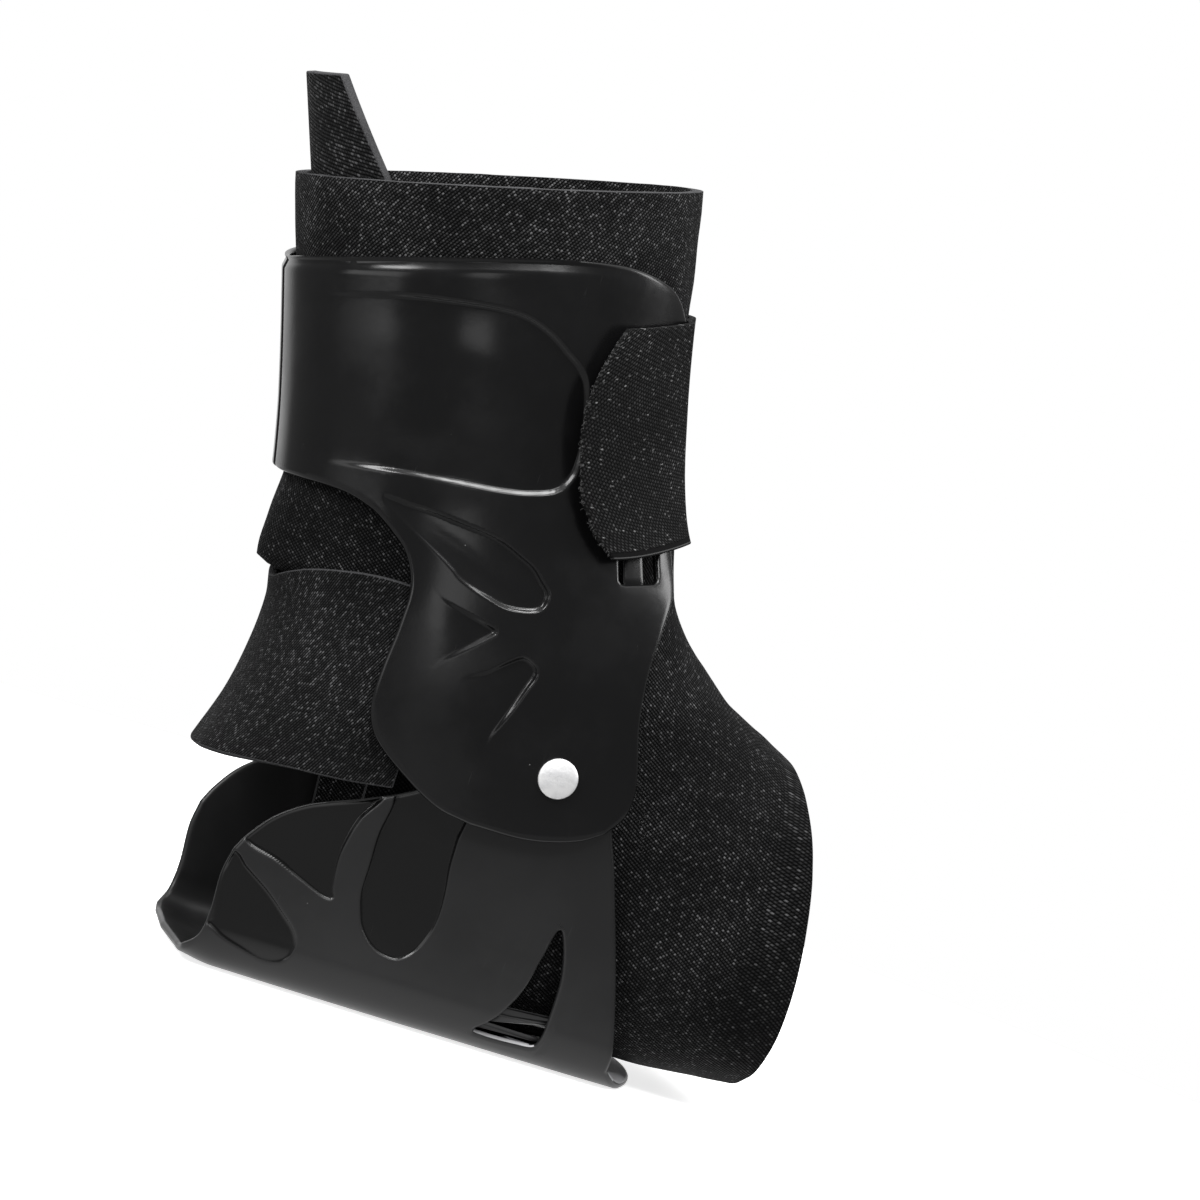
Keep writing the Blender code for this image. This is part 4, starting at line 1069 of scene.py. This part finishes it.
def makeStirrup():
    rivet, bent = shaft["rivetHeight"], stirrup["bendShare"]
    back = [(-stirrup["back"] * x, rivet * z) for x, z in stirrup["backEdge"]]
    turns = [math.radians(angle) for angle in (160, 130, 100, 70, 40, 10)]
    top = [(-stirrup["back"] * x, rivet * z) for x, z in stirrup["topEdge"]]
    top += [(stirrup["ear"] * math.cos(t), rivet + stirrup["ear"] * math.sin(t)) for t in turns]
    front = [(stirrup["front"] * x, rivet * z) for x, z in reversed(stirrup["frontEdge"])]
    top[-1] = front[-1]
    corners = (back[0], front[0], back[-1], front[-1])

    def wallPoint(u, v):
        level = tuple(a + (b - a) * u for a, b in zip(back[0], front[0]))
        forward, height = bilinear(level, curveAt(top, u), curveAt(back, v), curveAt(front, v), corners, u, v)
        return stirrupPoint(forward, height)

    def solePoint(u, v):
        # v runs from the wall's low edge round the bend, and on to the middle of the sole
        start, end = back[0][0] - 0.002 * v, front[0][0] + stirrup["nose"] * (1 - (1 - v) ** 2)
        forward = start + (end - start) * u
        if v < bent:
            rise = back[0][1] + (front[0][1] - back[0][1]) * u
            turn = math.acos(1 - rise / stirrup["corner"]) * (1 - v / bent)
            return stirrupPoint(forward, stirrup["corner"] * (1 - math.cos(turn)))
        return stirrupPoint(forward, 0.0, 1 - (v - bent) / 0.7 - 1e-6)

    mesh = bmesh.new()
    columns = spread(stirrup["wallLength"], stirrup["cell"], stirrup["rings"], stirrup["rings"])
    rows = spread(stirrup["wallHeight"], stirrup["cell"], (), stirrup["rings"])
    patch(mesh, columns, [share**1.15 for share in rows], wallPoint)
    patch(mesh, columns, spread(stirrup["soleWidth"], 0.0013), solePoint)
    bmesh.ops.remove_doubles(mesh, verts=mesh.verts, dist=2e-6)
    cutOut = closedCurve([(stirrup["back"] * x, rivet * z) for x, z in stirrup["sideCut"]], 220)
    openHole(mesh, cutOut, stirrup["rings"], fromTheSide, stirrupPoint)
    recesses = []
    for outline in stirrup["recesses"]:
        heights = [rivet * z for _, z in outline]
        curve = closedCurve([(stirrup["back"] * x, rivet * z) for x, z in outline], 140)
        recesses.append((curve, min(heights), max(heights)))
    refineAlong(mesh, [curve for curve, _, _ in recesses], fromTheSide, 0.0010)
    otherSide(mesh, Vector((0, 0, 0.04)))

    def carve(places, depths):
        flats = places[:, (0, 2)]
        cut = np.zeros(len(places))
        for outline, low, high in recesses:
            # deeper towards the top, so the floor of a recess stands more upright than the wall
            sunk = smoothSteps(-0.0005, 0.0005, howFarInside(flats, outline))
            deeper = 0.45 + 0.9 * np.clip((flats[:, 1] - low) / (high - low), 0, 1)
            cut = np.maximum(cut, stirrup["relief"] * sunk * deeper)
        return -np.where(np.abs(places[:, 1]) > 0.028, cut, 0)

    giveWall(mesh, stirrup["wall"], carve)
    # the floor inside the sole takes the second finish, a light grey painted reflection
    for face in mesh.faces:
        face.normal_update()
        middle = face.calc_center_median()
        if face.normal.z > 0.5 and middle.z < stirrup["wall"] + 0.004 and middle.x > -0.002:
            face.material_index = 1
    piece = makePiece("heelStirrup", mesh, [finish["stirrup"], finish["insidePaintedLight"]], "stirrup")


makeStirrup()


# ---- the rivets

rivets = {
    "head": 0.0107,
    "dome": 0.0017,
    "edge": 0.0005,
    "shank": 0.0046,
    "outside": 0.0489,  # where the head starts, from the middle
    "inside": 0.0427,
    "tail": 0.001,
}


def makeRivet(name, side, node):
    mesh = bmesh.new()
    radius, shank, tail = rivets["head"] / 2, rivets["shank"] / 2, rivets["tail"]
    outside, inside = rivets["outside"], rivets["inside"]
    rim, bevel = outside + rivets["edge"], 0.00015
    # distance from its axis, and along it
    profile = []
    for step in range(9):
        turn = math.pi / 2 * step / 9
        profile.append((radius * math.sin(turn), rim + (rivets["dome"] - rivets["edge"]) * math.cos(turn)))
    profile += [
        (radius, rim), (radius, outside + bevel), (radius - bevel, outside), (shank, outside), (shank, inside),
        (radius * 0.8, inside), (radius * 0.8, inside - tail * 0.8), (radius * 0.7, inside - tail),
        (0.0, inside - tail),
    ]
    chain = [mesh.verts.new((0, side * along, shaft["rivetHeight"] + out)) for out, along in profile]
    edges = [mesh.edges.new(pair) for pair in zip(chain, chain[1:])]
    bmesh.ops.spin(
        mesh, geom=chain + edges, cent=(0, 0, shaft["rivetHeight"]), axis=(0, 1, 0),
        angle=2 * math.pi, steps=56, use_merge=True,
    )
    bmesh.ops.remove_doubles(mesh, verts=mesh.verts, dist=1e-6)
    bmesh.ops.recalc_face_normals(mesh, faces=mesh.faces)
    piece = makePiece(name, mesh, [finish["metal"]], node, 35)


makeRivet("outerRivet", -1, "rivet_outer")
makeRivet("innerRivet", 1, "rivet_inner")


# ---- the sleeve

sleeve = {
    "foam": 0.003,
    "ankleWidth": 0.0826,
    "footReach": 0.081,
    "footWidth": 0.093,
    "instep": 0.0975,
    "heelReach": 0.082,
    "toeBulge": 0.0055,
    "rearFlare": 0.0095,
    # upper forward, upper height, lower back, lower height, width, squareness
    "ankle": (
        (0.309, 1.334, 0.93, 1.36, 0.945, 2.1),
        (0.400, 1.229, 0.91, 0.92, 0.965, 2.1),
        (0.494, 1.160, 0.850, 0.46, 0.99, 2.2),
        (0.593, 1.100, 0.600, 0.085, 0.955, 2.35),
        (0.691, 1.055, 0.060, 0.039, 0.935, 2.4),
    ),
    # upper forward, upper height, lower forward, lower height, width, squareness
    "foot": (
        (0.772, 1.022, 0.469, 0.040, 0.895, 2.4),
        (0.829, 1.0, 0.988, 0.072, 1.0, 2.6),
    ),
    # the open back, seen from the side: back as a share of its reach, height as one of the rivets'
    "openHeel": (
        (1.5, 1.33), (0.95, 1.325), (0.80, 1.30), (0.70, 1.22), (0.60, 1.08), (0.55, 0.88), (0.54, 0.65),
        (0.52, 0.35), (0.50, 0.1), (0.48, -0.2), (1.5, -0.2),
    ),
    "rows": 190,
    "columns": 200,
}


def sleeveRows():
    rows = []
    for height, front, back, width, squareness in shaft["sections"]:
        ahead = shaftPoint(-shaft["setBack"] + shaft["depth"] * front, 0, shaft["height"] * height)
        behind = shaftPoint(-shaft["setBack"] - shaft["depth"] * back, 0, shaft["height"] * height)
        rows.append((ahead.x, ahead.z, behind.x, behind.z, shaft["width"] * width / 2, squareness))
    for forward, up, back, low, width, squareness in sleeve["ankle"]:
        ahead = (sleeve["footReach"] * forward, sleeve["instep"] * up)
        behind = (-sleeve["heelReach"] * back, shaft["rivetHeight"] * low)
        rows.append((*ahead, *behind, sleeve["ankleWidth"] * width / 2, squareness))
    for forward, up, lower, low, width, squareness in sleeve["foot"]:
        ahead = (sleeve["footReach"] * forward, sleeve["instep"] * up)
        below = (sleeve["footReach"] * lower, sleeve["instep"] * low)
        rows.append((*ahead, *below, sleeve["footWidth"] * width / 2, squareness))
    return rows


strapMiddle = 0.088  # height of the strap's middle over the rivets


def makeSleeve():
    rows = sleeveRows()
    read = {}

    def sleevePoint(u, v):
        if v not in read:
            read[v] = curveAt(rows, v)
        aheadX, aheadZ, behindX, behindZ, width, squareness = read[v]
        angle = 2 * math.pi * u
        turned = math.atan2(math.sin(angle), math.cos(angle))
        middle = Vector(((aheadX + behindX) / 2, 0, (aheadZ + behindZ) / 2))
        axis = Vector((aheadX - behindX, 0, aheadZ - behindZ)) / 2
        depth = axis.length
        out = reach(angle, depth, width, squareness)
        flare = smoothStep(0.102, 0.1075, behindZ) * (1 - smoothStep(0.107, 0.133, behindZ))
        flare *= sleeve["rearFlare"] * math.exp(-((turned / 0.32) ** 2))

        def pointOut(out):
            point = middle - axis / depth * math.cos(angle) * (out + flare)
            point.y = -math.sin(angle) * out
            return point

        # soft hollows and swells of the stretched cloth, inwards where something lies over it
        point = pointOut(out)
        swell = noise.noise(point / 0.022) * 0.0009 + noise.noise(point / 0.009 + Vector((5, 0, 0))) * 0.0003
        free = max(1 - smoothStep(0.05, 0.09, v), smoothStep(0.62, 0.75, v) * smoothStep(0.03, 0.05, point.x))
        point = pointOut(out + (swell if swell < 0 else swell * free))
        point.x += sleeve["toeBulge"] * smoothStep(0.86, 1.0, v) * math.sin(angle) ** 2
        return point

    mesh = bmesh.new()
    across = [i / sleeve["columns"] for i in range(sleeve["columns"] + 1)]
    down = [i / sleeve["rows"] for i in range(sleeve["rows"] + 1)]
    flats = {}
    for v in down:
        ring = [sleevePoint(u, v) for u in across]
        lengths = np.concatenate([[0], np.cumsum([(b - a).length for a, b in zip(ring, ring[1:])])])
        quarter = sleeve["columns"] // 4
        aheadX, aheadZ, behindX, behindZ = read[v][:4]
        ahead = Vector((aheadX - behindX, aheadZ - behindZ)).normalized()
        middle = Vector(((aheadX + behindX) / 2, (aheadZ + behindZ) / 2))
        onShaft = shaftFlat((middle.x, 0, middle.y))[1] > strapMiddle
        for number, u in enumerate(across):
            # laid flat outwards from the line down the side, the same way on both sides
            along = lengths[number] - lengths[quarter] if u <= 0.5 else lengths[3 * quarter] - lengths[number]
            at = middle + ahead * along
            flats[u, v] = (-at.y, at.x) if onShaft else (at.x, at.y)
    patch(mesh, across, down, sleevePoint, lambda u, v: flats[u, v])
    bmesh.ops.remove_doubles(mesh, verts=mesh.verts, dist=1e-6)
    faceOutwards(mesh, Vector((-0.01, 0, 0.12)))
    piece = makePiece("foamSleeve", mesh, [finish["sleeve"], finish["foam"]], "sleeve")
    addWall(piece, sleeve["foam"], 1, 0.0005)
    cutter = bmesh.new()
    outline = [(-sleeve["heelReach"] * x, shaft["rivetHeight"] * z) for x, z in sleeve["openHeel"]]
    face = cutter.faces.new([cutter.verts.new((x, -0.09, z)) for x, z in outline])
    grown = bmesh.ops.extrude_face_region(cutter, geom=[face])["geom"]
    bmesh.ops.translate(cutter, verts=[v for v in grown if isinstance(v, bmesh.types.BMVert)], vec=(0, 0.18, 0))
    bmesh.ops.recalc_face_normals(cutter, faces=cutter.faces)
    data = asData("openHeel", cutter)
    data.materials.append(finish["foam"])
    openHeel = bpy.data.objects.new("openHeel", data)
    scene.collection.objects.link(openHeel)
    cut = piece.modifiers.new("open heel", "BOOLEAN")
    cut.operation = "DIFFERENCE"
    cut.object = openHeel
    cut.solver = "EXACT"
    cut.material_mode = "TRANSFER"
    settle(piece)
    bpy.data.objects.remove(openHeel)
    return piece


sleevePiece = makeSleeve()


# ---- the strap

strap = {
    "wall": 0.0017,
    "width": 0.060,
    "middle": strapMiddle,
    "laid": 0.0029,
    "lift": 0.0028,
    "rise": 0.0024,  # how much higher it lies in front
    "frontWidth": 0.96,  # its share of the width there, where it is pulled tight
    "drop": 0.0005,
    "innerDrop": 0.0035,  # towards the slot that it goes through
    "innerWidth": 0.95,
    "laidShare": 0.96,  # of its length, and the rest bends into the slot
    "mapLength": 0.118,
    # the free end, along the leaning shaft from the rivet: height, forward
    "freeEnd": (
        (0.0576, 0.0104), (0.061, 0.0072), (0.0654, 0.0042), (0.069, 0.0030), (0.0726, 0.0014),
        (0.0776, 0.0007), (0.0885, 0.0003), (0.0957, 0.0010), (0.1002, 0.0019), (0.1051, 0.0036),
        (0.1096, 0.0058), (0.1148, 0.0089), (0.1185, 0.0116),
    ),
}


def strapSurface(degrees, height, lift):
    # on the cuff at the sides, and straight on the sleeve in front
    angle = min(degrees, 360 - degrees)
    inner = smoothStep(200, 250, degrees)
    ahead = smoothStep(120, 165, angle)
    narrower = (strap["innerWidth"] - 1) * inner + (strap["frontWidth"] - 1) * ahead
    height = strap["middle"] + (height - strap["middle"]) * (1 + narrower)
    height += strap["rise"] * ahead - strap["drop"] - strap["innerDrop"] * inner
    turn = math.radians(angle)
    front, _, width, squareness = shaftSection(height)
    away = cuff["gap"] + lift - 0.0013
    out = reach(turn, front + away, width + away, squareness)
    onSleeve = shaftPoint(-shaft["setBack"] - out * math.cos(turn), -out * math.sin(turn), height)
    point = cuffSurface(angle, height, lift).lerp(onSleeve, smoothStep(150, 162, angle))
    if degrees > 180:
        point.y = -point.y
    return point


def makeStrap():
    across = spread(strap["width"], 0.0010)
    bend = strap["wall"] * 1.2
    laid = strap["laidShare"]
    ends = {}
    for v in across:
        height = strap["middle"] + strap["width"] * (v - 0.5)
        start = angleAt(tableAt(strap["freeEnd"], height)[0], height)
        slot = 360 - angleAt(cuff["slotAt"], height)
        ends[v] = (height, start, slot - math.degrees((bend - strap["wall"] / 2) / (shaft["width"] / 2)))

    def strapPoint(u, v):
        height, start, last = ends[v]
        if u <= laid:
            angle = start + (last - start) * u / laid
            lift = strap["laid"] + strap["lift"] * (1 - smoothStep(109, 150, angle))
            lift += 0.00025 * noise.noise(Vector((angle / 14, height / 0.02, 1.0)))
            return strapSurface(angle, height, lift)
        turn = math.pi / 2 * (u - laid) / 0.04
        beyond = strap["wall"] / 2 - bend + bend * math.sin(turn)
        angle = last + math.degrees(beyond / (shaft["width"] / 2))
        return strapSurface(angle, height, strap["laid"] - bend * (1 - math.cos(turn)))

    along = [laid * i / 110 for i in range(111)] + [laid + 0.04 * (i + 1) / 6 for i in range(6)]
    mesh = bmesh.new()
    patch(mesh, along, across, strapPoint, lambda u, v: (u * strap["mapLength"], v * strap["width"]))
    faceOutwards(mesh, shaftPoint(-shaft["setBack"], 0, strap["middle"]))
    piece = makePiece("frontStrap", mesh, [finish["strap"], finish["foam"]], "strap")
    addWall(piece, strap["wall"], 0, 0.0003)
    settle(piece)
    return piece


strapPiece = makeStrap()


# ---- the band round the back

band = {
    "wall": 0.0025,
    "front": 0.0395,
    "map": (0.135, 0.050),
    # from the low edge to the high edge, how far it reaches back
    "sections": ((0.0, 1.058), (0.3, 1.0), (0.6, 0.972), (0.85, 0.968), (1.0, 0.985)),
    # from the ends to the back: low edge, high edge, as shares of the rivets' height
    "edges": (
        (0.0, 0.795, 1.465), (0.254, 0.769, 1.465), (0.42, 0.756, 1.462), (0.555, 0.746, 1.452),
        (0.68, 0.733, 1.435), (0.795, 0.719, 1.414), (0.887, 0.706, 1.389), (0.952, 0.697, 1.360),
        (0.985, 0.691, 1.337), (1.0, 0.686, 1.318),
    ),
}


def bandPoint(u, v):
    across = 2 * u - 1
    (back,) = tableAt(band["sections"], v)
    middle = sleeve["heelReach"] * 0.305
    depth = sleeve["heelReach"] * back - middle
    width = sleeve["ankleWidth"] / 2 + cuff["gap"] + band["wall"]
    angle = math.atan2(width, (band["front"] - middle) * 1.03) * across
    out = reach(angle, depth, width, 2.2)
    behind = middle + out * math.cos(angle)
    low, high = tableAt(band["edges"], (behind - band["front"]) / (middle + depth - band["front"]))
    return Vector((-behind, out * math.sin(angle), shaft["rivetHeight"] * (low + (high - low) * v)))


def makeBand():
    mesh = bmesh.new()
    across = [i / 130 for i in range(131)]
    down = [i / 50 for i in range(51)]
    patch(mesh, across, down, bandPoint, lambda u, v: (-u * band["map"][0], v * band["map"][1]))
    faceOutwards(mesh, Vector((-0.03, 0, 0.08)))
    piece = makePiece("heelBand", mesh, [finish["band"], finish["foam"]], "heel_band")
    addWall(piece, band["wall"], 1, 0.0004)
    settle(piece)
    return piece


bandPiece = makeBand()


# ---- the pull tab

tab = {"height": 0.0265, "width": 0.036, "length": 0.048, "wall": 0.003}


def makeTab():
    inside = sleeve["foam"] + 2.5 * cuff["gap"]

    def tabPoint(u, v):
        height = shaft["height"] + tab["height"] * (1 - 1.8 * v)
        _, back, width, squareness = shaftSection(height)
        above = max(0.0, height - shaft["height"]) / tab["height"]
        sweep = tab["width"] / (shaft["width"] / 2) * (1 - 0.34 * above)
        angle = math.radians(-7) + sweep * u
        out = reach(angle, back - inside, width - inside, squareness)
        middle = -shaft["setBack"] - 0.0025 * above
        return shaftPoint(middle - out * math.cos(angle), -out * math.sin(angle), height)

    mesh = bmesh.new()
    wide, long = tab["width"], tab["length"]
    patch(mesh, spread(wide, 0.001), spread(long, 0.001), tabPoint, lambda u, v: (u * wide, v * long))
    faceOutwards(mesh, shaftPoint(-shaft["setBack"], 0, shaft["height"]))
    piece = makePiece("pullTab", mesh, [finish["tab"], finish["foam"]], "pull_tab")
    addWall(piece, tab["wall"], 1, 0.0004)
    settle(piece)
    return piece


tabPiece = makeTab()


# ---- loose fibres: hooks along the strap's free end, stitches and pilled loops low on the sleeve

fibres = {
    "thick": 0.00007,
    "stitchThick": 0.00018,
    "hooks": 170,
    "hookLength": (0.0006, 0.0013),
    "stitchLine": ((0.0149, 0.1103), (0.0192, 0.0975)),
    "stitches": 11,
    "pilled": ((0.0149, 0.1103), (0.0309, 0.063)),
    "pills": 150,
}


def addFibre(mesh, points, thick):
    # a bent three-sided thread through the points
    rings = []
    for number, point in enumerate(points):
        ahead = (points[min(number + 1, len(points) - 1)] - points[max(number - 1, 0)]).normalized()
        side = ahead.orthogonal().normalized()
        other = ahead.cross(side)
        size = thick * (0.5 if number in (0, len(points) - 1) else 1.0)
        ring = []
        for corner in range(3):
            turn = 2 * math.pi * corner / 3
            ring.append(mesh.verts.new(point + (side * math.cos(turn) + other * math.sin(turn)) * size))
        rings.append(ring)
    for first, second in zip(rings, rings[1:]):
        for corner in range(3):
            after = (corner + 1) % 3
            mesh.faces.new((first[corner], first[after], second[after], second[corner]))
    mesh.faces.new(rings[0][::-1])
    mesh.faces.new(rings[-1])


def sleeveSpot(x, z):
    hit, place, normal, _ = sleevePiece.ray_cast(Vector((x, -0.2, z)), Vector((0, 1, 0)))
    return (place, normal) if hit else (None, None)


def makeFibres():
    chance = random.Random(7)
    mesh = bmesh.new()
    low, high = strap["middle"] - strap["width"] / 2, strap["middle"] + strap["width"] / 2
    for _ in range(fibres["hooks"]):
        height = low + (high - low) * chance.random()
        degrees = angleAt(tableAt(strap["freeEnd"], height)[0], height)
        lift = strap["laid"] + strap["lift"] - strap["wall"] * chance.random()
        root = strapSurface(degrees + 0.25, height, lift)
        away = (strapSurface(degrees - 1.2, height, lift + 0.0002) - root).normalized()
        up = Vector((0, 0, chance.uniform(-1, 1)))
        out = Vector((0, -1, 0)) * chance.uniform(-0.2, 0.8)
        length = chance.uniform(*fibres["hookLength"])
        bend = root + (away + (up + out) * 0.5).normalized() * length * 0.6
        tip = bend + (away * chance.uniform(-0.5, 0.4) + up + out * 0.5).normalized() * length * 0.5
        addFibre(mesh, [root, root + (bend - root) * 0.6 + away * 0.00005, bend, tip], fibres["thick"])
    bmesh.ops.recalc_face_normals(mesh, faces=mesh.faces)
    makePiece("strapHooks", mesh, [finish["fibre"]])
    mesh = bmesh.new()
    (x0, z0), (x1, z1) = fibres["stitchLine"]
    for number in range(fibres["stitches"]):
        ends = []
        for share in (number + 0.15, number + 0.5, number + 0.85):
            t = share / fibres["stitches"]
            ends.append(sleeveSpot(x0 + (x1 - x0) * t, z0 + (z1 - z0) * t))
        if all(point for point, _ in ends):
            lifts = (0.0, 0.00022, 0.0)
            raised = [point + normal * lift for (point, normal), lift in zip(ends, lifts)]
            addFibre(mesh, raised, fibres["stitchThick"])
    (x0, z0), (x1, z1) = fibres["pilled"]
    for _ in range(fibres["pills"]):
        t = chance.random()
        x = x0 + (x1 - x0) * t + chance.gauss(0, 0.0016)
        point, normal = sleeveSpot(x, z0 + (z1 - z0) * t)
        if point is None:
            continue
        sideways = Vector((chance.uniform(-1, 1), 0, chance.uniform(-1, 1))).normalized()
        turned = sideways.cross(normal)
        size = chance.uniform(0.00015, 0.00045)
        bend = point + sideways * size + normal * size * 0.5
        tip = point + (sideways + turned) * size + normal * 0.0001
        addFibre(mesh, [point, bend, tip], fibres["thick"])
    bmesh.ops.recalc_face_normals(mesh, faces=mesh.faces)
    makePiece("footStitches", mesh, [finish["fibre"]])


makeFibres()
print("fibres made")


# ---- floor, light and surroundings

studio = {
    "floor": 0.92,
    "floorRadius": 0.45,
    "fade": (0.045, 0.11),  # where the floor's light goes down to that of the sides, in a shine
    "fadeShape": (0.75, 1.0, 0.0),
    "glow": 0.75,
    "sides": 0.2,
    "above": 1.3,
    "behind": 1.0,
    "lights": (
        # name, where, size, power, aimed at
        ("leftCard", (-0.51, -0.26, 0.105), (0.36, 0.14), 0.3, (-0.08, -0.03, 0.17)),
        ("frontCard", (-0.19, -1.53, 0.26), (0.35, 0.35), 0.6, (-0.06, -0.04, 0.19)),
        ("overhead", (-0.12, -0.25, 1.10), (0.45, 0.30), 8.0, (0, 0, 0.12)),
        ("upperLeft", (-0.85, -0.50, 0.68), (0.40, 0.40), 8.0, (0, 0, 0.14)),
        ("frontTop", (0.0, -0.95, 1.05), (0.7, 0.25), 6.0, (0, 0, 0.14)),
        ("rightBox", (1.0, -0.20, 0.75), (0.35, 0.6), 5.0, (0, 0, 0.12)),
    ),
}


def makeFloorFinish():
    # lit from below like a light table; the pieces' shine sees it fade with distance
    settings = {"Roughness": 0.9, "Specular IOR Level": 0.1, "Emission Color": (1, 1, 1, 1)}
    made, tree, shader, spot = newMaterial("paleFloor", settings)
    away = vectorMaths(tree, "MULTIPLY", spot, studio["fadeShape"])
    length = tree.nodes.new("ShaderNodeVectorMath")
    length.operation = "LENGTH"
    tree.links.new(away, length.inputs[0])
    near = ramp(tree, length.outputs["Value"], *studio["fade"], 1.0, studio["sides"])
    path = tree.nodes.new("ShaderNodeLightPath")
    seen = path.outputs["Is Camera Ray"]
    glow = plus(tree, times(tree, seen, studio["glow"] - 1.0), 1.0)
    strength = times(tree, glow, maths(tree, "MAXIMUM", seen, near))
    shade = mixColour(tree, seen, grey(0.1), grey(studio["floor"]))
    feed(tree, shader, {"Base Color": shade, "Emission Strength": strength})
    return made


def makeStudio():
    mesh = bmesh.new()
    bmesh.ops.create_circle(mesh, cap_ends=True, segments=96, radius=studio["floorRadius"])
    data = asData("floor", mesh)
    data.materials.append(makeFloorFinish())
    floor = bpy.data.objects.new("floor", data)
    floor.location = (0, 0, -0.0002)
    scene.collection.objects.link(floor)
    world = bpy.data.worlds.new("studio")
    scene.world = world
    world.use_nodes = True
    tree = world.node_tree
    background = tree.nodes["Background"]
    background.inputs["Color"].default_value = (1, 1, 1, 1)
    _, rearwards, upwards = parts(tree, tree.nodes.new("ShaderNodeTexCoord").outputs["Generated"])
    overhead = ramp(tree, upwards, 0.35, 0.9, studio["sides"], studio["above"])
    backdrop = ramp(tree, rearwards, 0.70, 0.93, 0.0, studio["behind"])
    path = tree.nodes.new("ShaderNodeLightPath")
    glow = maths(tree, "MAXIMUM", overhead, backdrop)
    feed(tree, background, {"Strength": maths(tree, "MAXIMUM", glow, path.outputs["Is Camera Ray"])})
    for name, where, size, power, aim in studio["lights"]:
        light = bpy.data.lights.new(name, "AREA")
        light.shape = "RECTANGLE"
        light.size, light.size_y = size
        light.energy = power
        lamp = bpy.data.objects.new(name, light)
        lamp.location = where
        lamp.rotation_euler = (Vector(aim) - Vector(where)).to_track_quat("-Z", "Y").to_euler()
        scene.collection.objects.link(lamp)
    scene.view_settings.view_transform = "Standard"


makeStudio()
print("studio lit")
